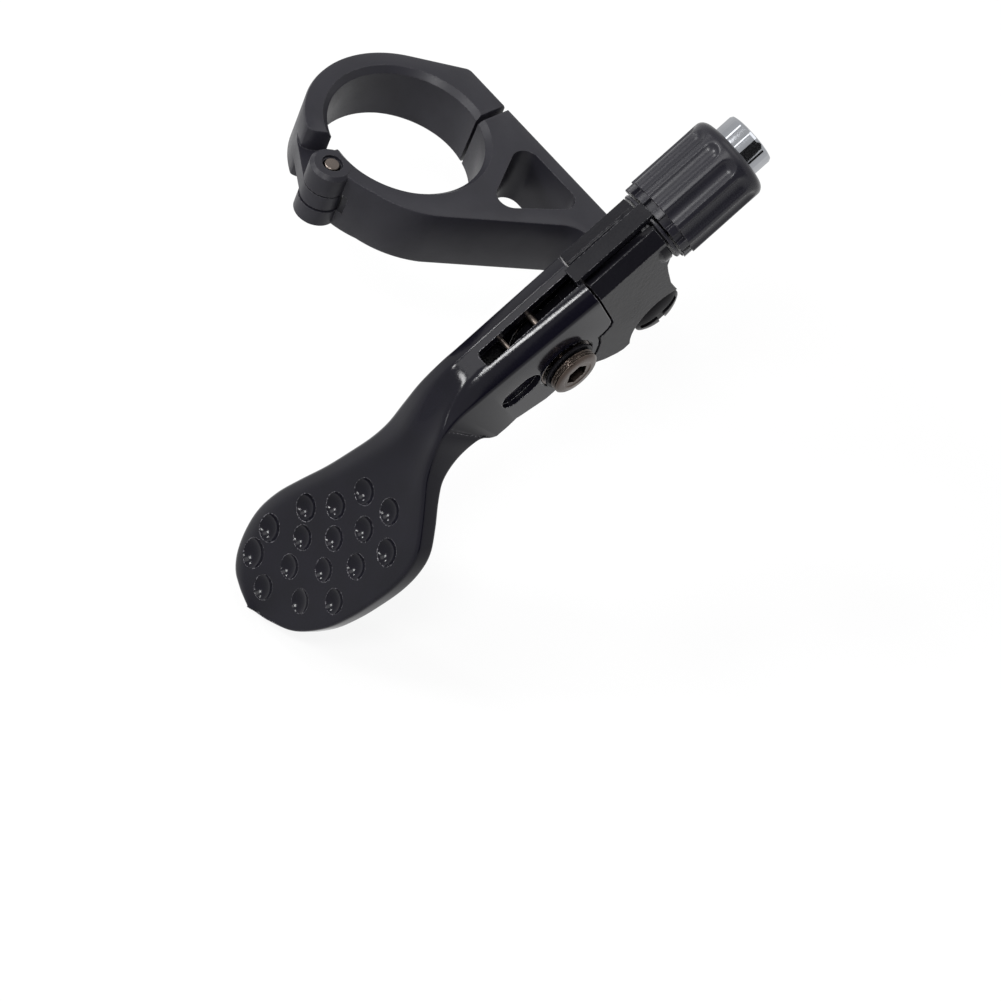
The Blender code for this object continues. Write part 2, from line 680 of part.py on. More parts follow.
def on_paddle(a, c, lift=0.0):
    """The lever-frame place of a point on the paddle's face."""
    along, across, up = paddle_axes()
    return Vector((0, PADDLE_B, PADDLE_T)) + a * along + c * across + lift * up


def lever_sections():
    """Cross-sections of the lever from its square end to the tip, each from its far to its near side."""
    up = Vector((0, 0, 1))
    paddle_up = paddle_axes()[2]
    sections = []
    deep = TOP_T + 0.0120
    for b, flat in ((LEVER_END, TOP_HALF), (-0.0020, 0.0019), (-0.0094, 0.0014), (-0.0126, 0.0013)):
        near = cheek_outer(b)
        edges = [(-HALF_WIDTH, b, SHOULDER_T), (-TOP_HALF, b, TOP_T), (flat, b, TOP_T), (near, b, SHOULDER_T)]
        sections.append((edges, up, deep - TOP_T + SHOULDER_T))
    neck = [(-0.0044, -0.0155, 0.0029), (-0.0024, -0.0152, 0.0042), (0.0014, -0.0152, 0.0043)]
    neck += [(0.0035, -0.0155, 0.00316)]
    sections.append((neck, up.lerp(paddle_up, 0.15), 0.0135))
    bend = [(-0.0050, -0.0192, 0.0010), (-0.0028, -0.0187, 0.0026), (0.0019, -0.0187, 0.0035)]
    bend += [(0.00338, -0.0188, 0.0031)]
    sections.append((bend, up.lerp(paddle_up, 0.35), 0.0100))
    far_rail = [(-0.0020, -0.0056), (0.0016, -0.0063), (0.0050, -0.0076), (0.0088, -0.0096)]
    far_rail += [(0.0132, -0.0121), (0.0176, -0.0150), (0.0217, -0.0175), (0.0256, -0.0190)]
    far_rail += [(0.0292, -0.0193), (0.0326, -0.0187), (0.0352, -0.0172), (0.0369, -0.0150)]
    far_rail += [(0.0374, -0.0124), (0.0378, -0.0110)]
    near_rail = [(-0.0036, 0.0043), (-0.0008, 0.0046), (0.0022, 0.0054), (0.0046, 0.0068)]
    near_rail += [(0.0078, 0.0087), (0.0109, 0.0101), (0.0140, 0.0101), (0.0176, 0.0091)]
    near_rail += [(0.0217, 0.0072), (0.0257, 0.0050), (0.0300, 0.0021), (0.0340, -0.0021)]
    near_rail += [(0.0366, -0.0072), (0.0375, -0.0093)]
    count = len(far_rail)
    for index in range(count):
        share = index / (count - 1)
        far = Vector(far_rail[index])
        near = Vector(near_rail[index])
        inward = (near - far).normalized()
        band = 0.0022 * (1 - share) + 0.0006 * share
        drop = 0.0010 * (1 - share) + 0.0003 * share
        rise = 0.0008 * share**2
        far_face = far + inward * band
        near_face = near - inward * 0.0004
        edges = [on_paddle(*far, rise - drop), on_paddle(*far_face, rise)]
        edges += [on_paddle(*near_face, 0), on_paddle(*near, -0.0002)]
        root = max(0.0, 1 - index / 3)
        thick = PADDLE_THICKNESS + (TIP_THICKNESS - PADDLE_THICKNESS) * share + 0.0040 * root**2
        sections.append((edges, paddle_up, thick))
    return sections


def lever_loft(shop):
    """The lever's outer form, lofted through its cross-sections."""
    sections = lever_sections()
    rings = []
    for edges, up, depth in sections:
        far, far_face, near_face, near = (Vector(edge) for edge in edges)
        middle = (far_face + near_face) / 2
        across = (near - far).normalized()
        up = up.normalized()
        soft = 0.0004
        ring = [far, far_face, middle, near_face, near]
        ring += [near - up * (depth - soft), near - up * depth - across * soft]
        ring += [far - up * depth + across * soft, far - up * (depth - soft)]
        rings.append(ring)
    smooth = []
    body = 4
    for index in range(body):
        smooth.append(rings[index])
    tail = rings[body - 1 :]
    count = 2 * (len(tail) - 1) + 1
    columns = [spline([ring[place] for ring in tail], count) for place in range(len(tail[0]))]
    for step in range(1, count):
        ring = [column[step] for column in columns]
        share = step / (count - 1)
        up = (ring[2] - (ring[6] + ring[7]) / 2).normalized()
        ring[2] = ring[2] - up * PADDLE_DISH * math.sin(math.pi * min(1.0, share * 1.4)) ** 2
        smooth.append(ring)
    points = [point for ring in smooth for point in ring]
    size = len(smooth[0])
    faces = [list(range(size))]
    for row in range(len(smooth) - 1):
        for place in range(size):
            here = row * size + place
            beside = row * size + (place + 1) % size
            faces.append([here, here + size, beside + size, beside])
    last = (len(smooth) - 1) * size
    faces.append([last + size - 1 - place for place in range(size)])
    mesh = bpy.data.meshes.new("lever")
    mesh.from_pydata(points, [], faces)
    return shop.add("lever", mesh, LEVER_FRAME)


def lever_side():
    """What the lever keeps, seen from the side in (b, t): its end, pivot boss and lower edge."""
    pivot = (PIVOT_B, PIVOT_T)
    end = [(LEVER_END, 0.0060), (LEVER_END, -0.0050), (0.0047, -0.0060), (0.0037, -0.0066)]
    boss = arc(pivot, PIVOT_BOSS_R, 0, -138, 12)
    heel = [(-0.0135, CHEEK_BOTTOM), (-0.0152, -0.0090), (-0.0172, -0.0078), (-0.0190, -0.0300)]
    return end + boss + heel + [(-0.0700, -0.0300), (-0.0700, 0.0060)]


def dimple_cutter(shop):
    """Sixteen balls that press the grip dimples into the paddle's face."""
    along, across, up = paddle_axes()
    origin = on_paddle(0, 0)
    sight = LEVER_FRAME.to_3x3().inverted() @ Vector((0.336, -0.595, 0.730))
    lift = math.sqrt(DIMPLE_BALL_R**2 - DIMPLE_R**2)
    shape = bmesh.new()
    for row, (first, last, count) in enumerate(DIMPLE_ARCS):
        radius = DIMPLE_FIRST_R + DIMPLE_PITCH * row
        for step in range(count):
            angle = math.radians(first + (last - first) * step / (count - 1))
            x = DIMPLE_CENTRE[0] + radius * math.cos(angle)
            b = DIMPLE_CENTRE[1] + radius * math.sin(angle)
            layout = Vector((x, b, 0))
            distance = (origin - layout).dot(up) / sight.dot(up)
            centre = layout + sight * distance + up * lift
            bmesh.ops.create_icosphere(
                shape, subdivisions=2, radius=DIMPLE_BALL_R, matrix=Matrix.Translation(centre)
            )
    mesh = bpy.data.meshes.new("dimples")
    shape.to_mesh(mesh)
    shape.free()
    return shop.add("dimples", mesh, LEVER_FRAME)


def make_lever(shop):
    """The lever: a U channel with a slotted roof, a bent neck and a dimpled paddle."""
    lever = lever_loft(shop)
    wide = HALF_WIDTH + 0.03
    shop.keep(lever, shop.prism("lever_side", lever_side(), -wide, wide, SIDE_FRAME))
    roof = TOP_T - ROOF
    channel = [(LEVER_END + OVER, roof), (-0.0130, roof), (-0.0150, 0.0014), (-0.0161, -0.0012)]
    channel += [(-0.0164, -0.0200), (LEVER_END + OVER, -0.0200)]
    shop.cut(lever, shop.prism("channel", channel, -CHANNEL_HALF, CHANNEL_HALF, SIDE_FRAME))
    low = (-GROOVE_HALF, SLOT_START, 0)
    high = (GROOVE_HALF, LEVER_END + OVER, TOP_T + OVER)
    shop.cut(lever, shop.box("roof_slot", low, high, LEVER_FRAME))
    hole = BEARING_R + FIT
    shop.cut(lever, shop.rod("bearing_seat", hole, -wide, wide, PIVOT_FRAME, 48))
    half = (CABLE_HOLE_LENGTH - CABLE_HOLE_WIDTH) / 2
    radius = CABLE_HOLE_WIDTH / 2
    oval = arc((CABLE_HOLE_B + half, CABLE_HOLE_T), radius, -90, 90)
    oval += arc((CABLE_HOLE_B - half, CABLE_HOLE_T), radius, 90, 270)
    shop.cut(lever, shop.prism("cable_hole", oval, 0, wide, SIDE_FRAME))
    pin = GUIDE_PIN_HALF + FIT
    pin_frame = SIDE_FRAME @ Matrix.Translation((GUIDE_PIN_B, GUIDE_PIN_T, 0))
    shop.cut(lever, shop.rod("guide_pin_hole", GUIDE_PIN_R + FIT, -pin, pin, pin_frame, 16))
    shop.cut(lever, dimple_cutter(shop))
    guide = shop.rod("cable_guide_pin", GUIDE_PIN_R, -GUIDE_PIN_HALF, GUIDE_PIN_HALF, pin_frame, 16)
    return lever, guide


def make_return_spring(shop):
    """Torsion spring round the pivot sleeve, from the base to a cross bar under the roof."""
    towards = Vector((BAR_B - PIVOT_B, BAR_T - PIVOT_T))
    leave = math.degrees(math.atan2(towards.y, towards.x) + math.acos(COIL_R / towards.length))
    last = leave - 360 * (COIL_TURNS + 1)
    first = -90.0
    count = COIL_STEPS * COIL_TURNS + 4
    foot = PIVOT_B + math.sqrt(PIVOT_BOSS_R**2 - (COIL_R + WIRE_R) ** 2)
    points = [Vector((COIL_START_X, foot, PIVOT_T - COIL_R))]
    for step in range(count + 1):
        angle = first + (last - first) * step / count
        b, t = polar((PIVOT_B, PIVOT_T), COIL_R, angle)
        points.append(Vector((COIL_START_X + COIL_PITCH * (first - angle) / 360, b, t)))
    side = points[-1].x
    points.append(Vector((side, BAR_B, BAR_T)).lerp(points[-1], 0.08))
    points.append(Vector((side - WIRE_R, BAR_B, BAR_T)))
    points.append(Vector((BAR_END_X, BAR_B, BAR_T)))
    return shop.wire("return_spring", points, WIRE_R, LEVER_FRAME)


def make_detent(shop):
    """Ring that clicks against the grip sleeve, and the spring that pushes it."""
    inner = THREAD_R + FIT
    top = DETENT_START + DETENT_THICKNESS
    foot = DETENT_START - DETENT_HUB
    profile = [(DETENT_R, top), (DETENT_R, DETENT_START), (DETENT_HUB_R, DETENT_START)]
    profile += [(DETENT_HUB_R, foot), (inner, foot), (inner, top)]
    ring = shop.turned("detent_ring", profile, BARREL_FRAME)
    radius = (THREAD_R + COUNTERBORE_R) / 2
    low = COUNTERBORE_START + FIT + DETENT_WIRE_R
    high = foot - FIT - DETENT_WIRE_R
    points = []
    count = int(COIL_STEPS * DETENT_COIL_TURNS)
    for step in range(count + 1):
        share = step / count
        x, y = polar((0, 0), radius, 360 * DETENT_COIL_TURNS * share)
        points.append(Vector((x, y, low + (high - low) * share)))
    spring = shop.wire("detent_spring", points, DETENT_WIRE_R, BARREL_FRAME)
    return ring, spring


def make_barrel_screw(shop):
    """Hollow adjuster screw: thread, smooth body and the faceted end that takes the housing."""
    soft = 0.0004
    shoulder = GRIP_START + 0.0016
    top = BARREL_END
    socket = top - HOUSING_DEPTH
    profile = [(BARREL_R - soft, top), (BARREL_R, top - soft), (BARREL_R, shoulder), (THREAD_R, shoulder)]
    profile += [(THREAD_R, THREAD_START), (CABLE_R, THREAD_START), (CABLE_R, socket)]
    profile += [(HOUSING_R, socket), (HOUSING_R, top)]
    screw = shop.turned("barrel_screw", profile, BARREL_FRAME)
    corner = BARREL_R / math.cos(math.pi / BARREL_FLATS) * 0.985
    flats = shop.rod("barrel_flats", corner, THREAD_START - OVER, top + OVER, BARREL_FRAME, BARREL_FLATS)
    shop.keep(screw, flats)
    return screw


def make_grip_sleeve(shop):
    """Fluted sleeve that the rider turns, with a toothed inner end."""
    inner = BARREL_R + FIT
    shoulder = GRIP_START + 0.0014
    dome = []
    for step in range(5):
        angle = math.radians(90 - 22.5 * step)
        dome.append((inner + (GRIP_R - inner) * math.cos(angle), GRIP_END - 0.0012 * (1 - math.sin(angle))))
    profile = dome + [(GRIP_R, GRIP_START + 0.0003), (GRIP_R - 0.0003, GRIP_START)]
    profile += [(THREAD_R + FIT, GRIP_START), (THREAD_R + FIT, shoulder), (inner, shoulder)]
    sleeve = shop.turned("grip_sleeve", profile, BARREL_FRAME, 48)
    centre = GRIP_R - FLUTE_DEPTH + FLUTE_R
    for index in range(GRIP_FLUTES):
        turn = BARREL_FRAME @ Matrix.Rotation(2 * math.pi * index / GRIP_FLUTES, 4, "Z")
        frame = turn @ Matrix.Translation((centre, 0, 0))
        profile = [(0, FLUTE_END), (FLUTE_R * 0.7, FLUTE_END - FLUTE_R * 0.3), (FLUTE_R, FLUTE_END - FLUTE_R)]
        profile += [(FLUTE_R, FLUTE_START + FLUTE_R), (FLUTE_R * 0.7, FLUTE_START + FLUTE_R * 0.3)]
        profile += [(0, FLUTE_START)]
        shop.cut(sleeve, shop.turned(f"flute_{index}", profile, frame, 10))
        tooth = turn @ Matrix.Rotation(math.pi / GRIP_FLUTES, 4, "Z")
        low = (GRIP_R - 0.0009, -0.0005, GRIP_START - OVER)
        high = (GRIP_R + OVER, 0.0005, GRIP_START + 0.0009)
        shop.cut(sleeve, shop.box(f"notch_{index}", low, high, tooth))
    return sleeve


def joint_empty(shop, name, frame):
    """An empty on a joint's axis, which carries the pieces that move about it."""
    empty = bpy.data.objects.new(name, None)
    empty.empty_display_size = 0.004
    empty.matrix_world = frame
    shop.parts.objects.link(empty)
    return empty


def carry(empty, frame, pieces):
    """Parents pieces to an empty without moving them."""
    for piece in pieces:
        piece.parent = empty
        piece.matrix_parent_inverse = frame.inverted()


def smooth_round_faces(pieces):
    """Shades the round faces smooth and leaves the corners sharp."""
    for piece in pieces:
        piece.data.shade_smooth()
        piece.data.set_sharp_from_angle(angle=math.radians(32))


def build():
    """Builds every piece, dresses it and hangs the moving ones on their joints."""
    clear_scene()
    shop = Shop("dropper_post_remote_lever")
    black_anodised = make_material("black_anodised", (0.060, 0.059, 0.068), 0.42, 0.75)
    gloss_black = make_material("gloss_black", (0.030, 0.029, 0.036), 0.18, 0.35)
    pale_steel = make_material("pale_steel", (0.52, 0.48, 0.45), 0.32, 1.0)
    black_oxide = make_material("black_oxide", (0.035, 0.035, 0.040), 0.35, 0.8)
    black_plastic = make_material("black_plastic", (0.035, 0.035, 0.040), 0.30, 0.0)
    chrome = make_material("chrome", (0.80, 0.80, 0.82), 0.08, 1.0)
    arm = make_clamp_arm(shop)
    jaw = make_clamp_jaw(shop)
    clamp_bolt = make_clamp_bolt(shop)
    hinge_pin = make_hinge_pin(shop)
    base = make_lever_base(shop)
    base_screw = make_base_screw(shop)
    pivot = make_pivot(shop)
    lever, guide_pin = make_lever(shop)
    return_spring = make_return_spring(shop)
    detent_ring, detent_spring = make_detent(shop)
    barrel = make_barrel_screw(shop)
    grip = make_grip_sleeve(shop)
    finishes = {
        black_anodised: [arm, jaw],
        gloss_black: [base, lever],
        pale_steel: [hinge_pin, return_spring, guide_pin, detent_spring, pivot["pivot_bolt"]],
        black_oxide: [clamp_bolt, base_screw, pivot["pivot_washer"], pivot["far_washer"]],
        black_plastic: [grip, detent_ring],
        chrome: [barrel],
    }
    finishes[pale_steel] += [pivot[name] for name in ("pivot_sleeve", "near_bearing", "far_bearing")]
    finishes[black_oxide].append(pivot["pivot_nut"])
    for material, pieces in finishes.items():
        for piece in pieces:
            piece.data.materials.append(material)
        smooth_round_faces(pieces)
    jaw_joint = joint_empty(shop, "jaw_joint", HINGE_FRAME)
    carry(jaw_joint, HINGE_FRAME, [jaw, clamp_bolt])
    lever_joint = joint_empty(shop, "lever_joint", PIVOT_FRAME)
    moving = [lever, guide_pin, pivot["near_bearing"], pivot["far_bearing"]]
    carry(lever_joint, PIVOT_FRAME, moving)
    adjuster_joint = joint_empty(shop, "adjuster_joint", BARREL_FRAME)
    carry(adjuster_joint, BARREL_FRAME, [detent_ring, barrel, grip])


build()
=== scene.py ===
"""Looks of a dropper post remote lever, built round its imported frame.

Metres, +Z up. The origin is the centre of the handlebar bore, Z is the bore's axis and X is
parallel to the lever's pivot. The lever and its base are drawn in a tilted frame: x across the
lever, b along the adjuster's axis towards the housing, t up from that axis.
"""

import logging
import math
from collections.abc import Callable, Sequence
from dataclasses import dataclass, field
from enum import Enum

import bmesh
import bpy
from mathutils import Matrix, Vector


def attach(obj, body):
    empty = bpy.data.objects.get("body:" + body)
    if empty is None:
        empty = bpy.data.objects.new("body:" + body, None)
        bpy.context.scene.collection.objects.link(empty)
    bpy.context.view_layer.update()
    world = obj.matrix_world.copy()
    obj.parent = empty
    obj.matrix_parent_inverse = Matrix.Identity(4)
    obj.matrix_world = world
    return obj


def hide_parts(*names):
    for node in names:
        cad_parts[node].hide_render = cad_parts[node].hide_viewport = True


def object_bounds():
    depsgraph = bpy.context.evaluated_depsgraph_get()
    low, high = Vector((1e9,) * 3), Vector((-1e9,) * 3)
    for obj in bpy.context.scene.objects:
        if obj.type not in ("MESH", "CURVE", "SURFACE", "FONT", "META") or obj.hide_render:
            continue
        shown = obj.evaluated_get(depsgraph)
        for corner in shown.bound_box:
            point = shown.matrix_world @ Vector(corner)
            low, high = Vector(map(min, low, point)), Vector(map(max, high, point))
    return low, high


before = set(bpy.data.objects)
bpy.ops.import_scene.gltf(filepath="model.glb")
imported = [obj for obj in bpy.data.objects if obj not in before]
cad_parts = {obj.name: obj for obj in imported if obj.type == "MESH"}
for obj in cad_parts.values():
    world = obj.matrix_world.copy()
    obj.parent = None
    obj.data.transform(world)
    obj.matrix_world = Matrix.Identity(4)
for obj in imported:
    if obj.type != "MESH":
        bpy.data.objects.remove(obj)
CAD_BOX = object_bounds()

LOG = logging.getLogger("remote_lever")

Point2 = tuple[float, float]
Profile = list[Point2]
Colour = tuple[float, float, float]

# How far tools reach past a face, then a close fit and a clear gap.
OVER = 0.0010
FIT = 0.0002
GAP = 0.0003
IDENTITY = Matrix.Identity(4)

# The base and the lever share one section: half its width, its top, and its cut corners.
HALF = 0.00423
TOP = 0.0045
SHOULDER = 0.00316
FLAT = 0.00227
SLOT = 0.00118
# Inside it are the base's tongue and the lever's channel, as half widths. The lever's end and
# its boss round the pivot follow, and how fast its near cheek draws in.
TONGUE = 0.00245
CHANNEL = 0.00275
LEVER_END = 0.0050
LEVER_BOSS = 0.0053
LEVER_TAPER = 0.037
# The arm's end, the screw's hole in it, and the clamp bolt's distance from the bore's axis.
ARM_END = 0.0343
SCREW_HOLE = 0.0022
SCREW_DEPTH = 0.0075
CLAMP_BOLT = 0.0132
# Where the adjuster's spring sits in the base.
SPRING_SEAT = 0.0100


class Body(Enum):
    """The bodies that pieces ride on."""

    MOUNT = "mount"
    JAW = "jaw"
    LEVER = "thumb_lever"
    DETENT = "detent"
    ADJUSTER = "adjuster"


class Cut(Enum):
    """How a tool changes a piece."""

    CUT = "DIFFERENCE"
    JOIN = "UNION"
    KEEP = "INTERSECT"


def linked(name: str, data: bpy.types.ID) -> bpy.types.Object:
    """Puts a new object in the scene.

    Args:
        name: Its name.
        data: Its mesh, curve, light or camera.

    Returns:
        The object, which sits at the origin.
    """
    thing = bpy.data.objects.new(name, data)
    bpy.context.scene.collection.objects.link(thing)
    return thing


def axes_frame(origin: Vector, x_axis: Vector, y_axis: Vector) -> Matrix:
    """A frame with its origin and its first two axes given.

    Args:
        origin: Where the frame stands.
        x_axis: Its first axis.
        y_axis: Its second axis.

    Returns:
        The frame as a 4x4 matrix.
    """
    z_axis = x_axis.cross(y_axis)
    return Matrix.Translation(origin) @ Matrix((x_axis, y_axis, z_axis)).transposed().to_4x4()


AXIS_X = 0.03577
AXIS_RISE = 0.00831
SLOPE = math.radians(38.3)
ALONG = Vector((0, math.cos(SLOPE), math.sin(SLOPE)))
UP = Vector((0, -math.sin(SLOPE), math.cos(SLOPE)))
LEVER_FRAME = axes_frame(Vector((AXIS_X, 0, 0)) + AXIS_RISE * UP, Vector((1, 0, 0)), ALONG)
SIDE_FRAME = LEVER_FRAME @ axes_frame(Vector(), Vector((0, 1, 0)), Vector((0, 0, 1)))
BARREL_FRAME = LEVER_FRAME @ axes_frame(Vector(), Vector((0, 0, 1)), Vector((1, 0, 0)))
PIVOT = (-0.00294, -0.00656)
PIVOT_FRAME = SIDE_FRAME @ Matrix.Translation((*PIVOT, 0))
SCREW = (0.01135, -0.01728)
SCREW_FRAME = SIDE_FRAME @ Matrix.Translation((*SCREW, 0))
HINGE = (0.00048, -0.01413)
HINGE_FRAME = Matrix.Translation((*HINGE, 0))
CLAMP_BOLT_FRAME = axes_frame(Vector((0, CLAMP_BOLT, 0)), Vector((0, 1, 0)), Vector((0, 0, 1)))


def fractions(count: int) -> list[float]:
    """Even steps from 0 to 1.

    Args:
        count: How many steps there are.

    Returns:
        The fractions, both ends among them.
    """
    return [step / count for step in range(count + 1)]


def polar(centre: Sequence[float], radius: float, degrees: float) -> Point2:
    """The point at an angle on a circle.

    Args:
        centre: The circle's centre.
        radius: Its radius.
        degrees: The angle from the first axis.

    Returns:
        The point.
    """
    angle = math.radians(degrees)
    return (centre[0] + radius * math.cos(angle), centre[1] + radius * math.sin(angle))


def arc(
    centre: Sequence[float], radius: float, start: float, end: float, steps: int = 20
) -> Profile:
    """Points along a circle.

    Args:
        centre: The circle's centre.
        radius: Its radius.
        start: The first angle in degrees.
        end: The last angle in degrees.
        steps: How many chords the arc has.

    Returns:
        The points, both ends among them.
    """
    return [
        polar(centre, radius, start + (end - start) * step / steps) for step in range(steps + 1)
    ]


def rounded(corners: Sequence[tuple[float, float, float]], steps: int = 10) -> Profile:
    """A closed outline with straight sides and filleted corners.

    Args:
        corners: The corners as (x, y, fillet radius).
        steps: How many chords each fillet has.

    Returns:
        The outline's points.
    """
    points: Profile = []
    for index, (x, y, radius) in enumerate(corners):
        corner = Vector((x, y))
        if radius <= 0:
            points.append((x, y))
            continue
        before = (Vector(corners[index - 1][:2]) - corner).normalized()
        after = (Vector(corners[(index + 1) % len(corners)][:2]) - corner).normalized()
        half = before.angle(after) / 2
        centre = corner + (before + after).normalized() * radius / math.sin(half)
        first = corner + before * radius / math.tan(half) - centre
        last = corner + after * radius / math.tan(half) - centre
        sweep = first.angle_signed(last)
        for step in range(steps + 1):
            points.append(tuple(centre + Matrix.Rotation(-sweep * step / steps, 2) @ first))
    return points


def mm(*points: Sequence[float]) -> list[tuple[float, ...]]:
    """Turns points in millimetres into metres.

    Args:
        points: The points.

    Returns:
        The same points in metres.
    """
    return [tuple(round(value / 1000, 9) for value in point) for point in points]


def near_cheek(b: float) -> float:
    """How far the lever's near cheek is from the middle, as it narrows towards the neck.

    Args:
        b: The place along the lever.

    Returns:
        The distance.
    """
    return HALF - LEVER_TAPER * (LEVER_END - b)


def hexagon(flats: float) -> float:
    """A hexagon's radius to its corners.

    Args:
        flats: Its width over the flats.

    Returns:
        The radius.
    """
    return flats / 2 / math.cos(math.radians(30))


def dowel(radius: float, low: float, high: float, soft: float) -> Profile:
    """The profile of a plain pin with broken edges.

    Args:
        radius: The pin's radius.
        low: Where it starts.
        high: Where it ends.
        soft: How far its edges are broken.

    Returns:
        The profile.
    """
    top = [(0, high), (radius - soft, high), (radius, high - soft)]
    return top + [(radius, low + soft), (radius - soft, low), (0, low)]


def spline(keys: Sequence[Vector], count: int) -> list[Vector]:
    """Points on a smooth curve through some keys.

    Args:
        keys: The points that the curve passes through.
        count: How many points to return, evenly spread over the keys.

    Returns:
        The curve's points.
    """
    keys = [Vector(key) for key in keys]
    ends = [2 * keys[0] - keys[1]] + keys + [2 * keys[-1] - keys[-2]]
    points = []
    for step in range(count):
        place = step * (len(keys) - 1) / (count - 1)
        span = min(int(place), len(keys) - 2)
        u = place - span
        a, b, c, d = ends[span : span + 4]
        curve = 2 * b + (c - a) * u
        curve += (2 * a - 5 * b + 4 * c - d) * u**2 + (3 * b - a - 3 * c + d) * u**3
        points.append(curve / 2)
    return points


def softened(corners: Sequence[Vector], reaches: Sequence[float], steps: int) -> list[Vector]:
    """A closed ring whose corners are rounded.

    Args:
        corners: The ring's corners.
        reaches: How far along its sides each corner's curve begins.
        steps: How many chords each corner's curve has.

    Returns:
        The ring's points, the same number for each corner.
    """
    ring = []
    for index, corner in enumerate(corners):
        before = corners[index - 1] - corner
        after = corners[(index + 1) % len(corners)] - corner
        first = corner + before.normalized() * min(reaches[index], before.length * 0.45)
        last = corner + after.normalized() * min(reaches[index], after.length * 0.45)
        for u in fractions(steps):
            ring.append(first * (1 - u) ** 2 + corner * 2 * u * (1 - u) + last * u**2)
    return ring


@dataclass
class Assembly:
    """A group of pieces, and the ways to make, cut, join and hang them.

    Attributes:
        tools: The tools in use on the piece at hand.
    """

    tools: list[bpy.types.Object] = field(default_factory=list)

    def add(self, name: str, mesh: bpy.types.Mesh, place: Matrix) -> bpy.types.Object:
        """Links a mesh in the row's own frame, with its faces pointing out.

        Args:
            name: The piece's name.
            mesh: Its mesh.
            place: The frame that the mesh is drawn in.

        Returns:
            The new object, which sits at the origin.
        """
        shape = bmesh.new()
        shape.from_mesh(mesh)
        bmesh.ops.transform(shape, matrix=place, verts=shape.verts)
        bmesh.ops.remove_doubles(shape, verts=shape.verts, dist=1e-7)
        bmesh.ops.recalc_face_normals(shape, faces=shape.faces)
        shape.to_mesh(mesh)
        shape.free()
        return linked(name, mesh)

    def grid(
        self, name: str, rings: Sequence[
            Sequence[Sequence[float]]
        ], place: Matrix, closed: bool = False
    ) -> bpy.types.Object:
        """Skins rings of points that each have the same number of points.

        Args:
            name: The piece's name.
            rings: The rings, in order.
            place: The frame that they are drawn in.
            closed: Whether the last ring joins the first, instead of both having caps.

        Returns:
            The piece.
        """
        size = len(rings[0])
        points = [tuple(point) for ring in rings for point in ring]
        last = len(points) - 1
        faces = [] if closed else [list(range(size)), list(range(last, last - size, -1))]
        for row in range(len(rings) if closed else len(rings) - 1):
            below = row * size
            above = (row + 1) % len(rings) * size
            for step in range(size):
                beside = (step + 1) % size
                faces.append([below + step, above + step, above + beside, below + beside])
        mesh = bpy.data.meshes.new(name)
        mesh.from_pydata(points, [], faces)
        return self.add(name, mesh, place)

    def turned(
        self,
        name: str,
        profile: Profile,
        place: Matrix = IDENTITY,
        steps: int = 96,
        shape: Callable[[float, float, float], float] | None = None,
    ) -> bpy.types.Object:
        """Turns a profile about the frame's z axis.

        Args:
            name: The piece's name.
            profile: Points of (radius, height), a closed loop or a line from axis to axis.
            place: The frame that it is drawn in.
            steps: How many steps a whole turn has.
            shape: Gives a new radius from (radius, height, angle), for flutes and flats.

        Returns:
            The piece.
        """
        rings = []
        for radius, height in profile:
            ring = []
            for step in range(steps):
                angle = 2 * math.pi * step / steps
                wide = shape(radius, height, angle) if shape else radius
                ring.append((wide * math.cos(angle), wide * math.sin(angle), height))
            rings.append(ring)
        return self.grid(name, rings, place, closed=profile[0][0] > 0)

    def prism(
        self,
        name: str,
        outline: Profile,
        low: float,
        high: float,
        place: Matrix = IDENTITY,
        chamfer: float = 0.0,
        soft: int = 0,
    ) -> bpy.types.Object:
        """Gives a flat outline a thickness along its frame's z axis.

        Args:
            name: The piece's name.
            outline: The outline's points.
            low: The lower face's height.
            high: The upper face's height.
            place: The frame that it is drawn in.
            chamfer: How far its edges are broken.
            soft: How many more steps round the broken edges have.

        Returns:
            The piece.
        """
        curve = bpy.data.curves.new(name, "CURVE")
        curve.dimensions = "2D"
        curve.fill_mode = "BOTH"
        curve.extrude = (high - low) / 2 - chamfer
        curve.bevel_depth = chamfer
        curve.bevel_resolution = soft
        curve.offset = -chamfer
        place = place @ Matrix.Translation((0, 0, (low + high) / 2))
        return self.realise(curve, [(*point, 0) for point in outline], place)

    def wire(
        self, name: str, points: Sequence[Vector], radius: float, place: Matrix
    ) -> bpy.types.Object:
        """A round wire through a list of points.

        Args:
            name: The piece's name.
            points: The points on its middle line.
            radius: The wire's radius.
            place: The frame that it is drawn in.

        Returns:
            The piece.
        """
        curve = bpy.data.curves.new(name, "CURVE")
        curve.dimensions = "3D"
        curve.bevel_depth = radius
        curve.bevel_resolution = 3
        curve.use_fill_caps = True
        return self.realise(curve, points, place)

    def realise(
        self, curve: bpy.types.Curve, points: Sequence[Sequence[float]], place: Matrix
    ) -> bpy.types.Object:
        """Runs a curve through some points and turns it into a mesh piece of its name.

        Args:
            curve: The curve, which is closed if it is flat.
            points: The points on it.
            place: The frame that it is drawn in.

        Returns:
            The piece.
        """
        line = curve.splines.new("POLY")
        line.points.add(len(points) - 1)
        for point, spot in zip(line.points, points):
            point.co = (*spot, 1)
        line.use_cyclic_u = curve.dimensions == "2D"
        name = curve.name
        source = linked(name, curve)
        graph = bpy.context.evaluated_depsgraph_get()
        mesh = bpy.data.meshes.new_from_object(source.evaluated_get(graph))
        bpy.data.objects.remove(source)
        bpy.data.curves.remove(curve)
        return self.add(name, mesh, place)

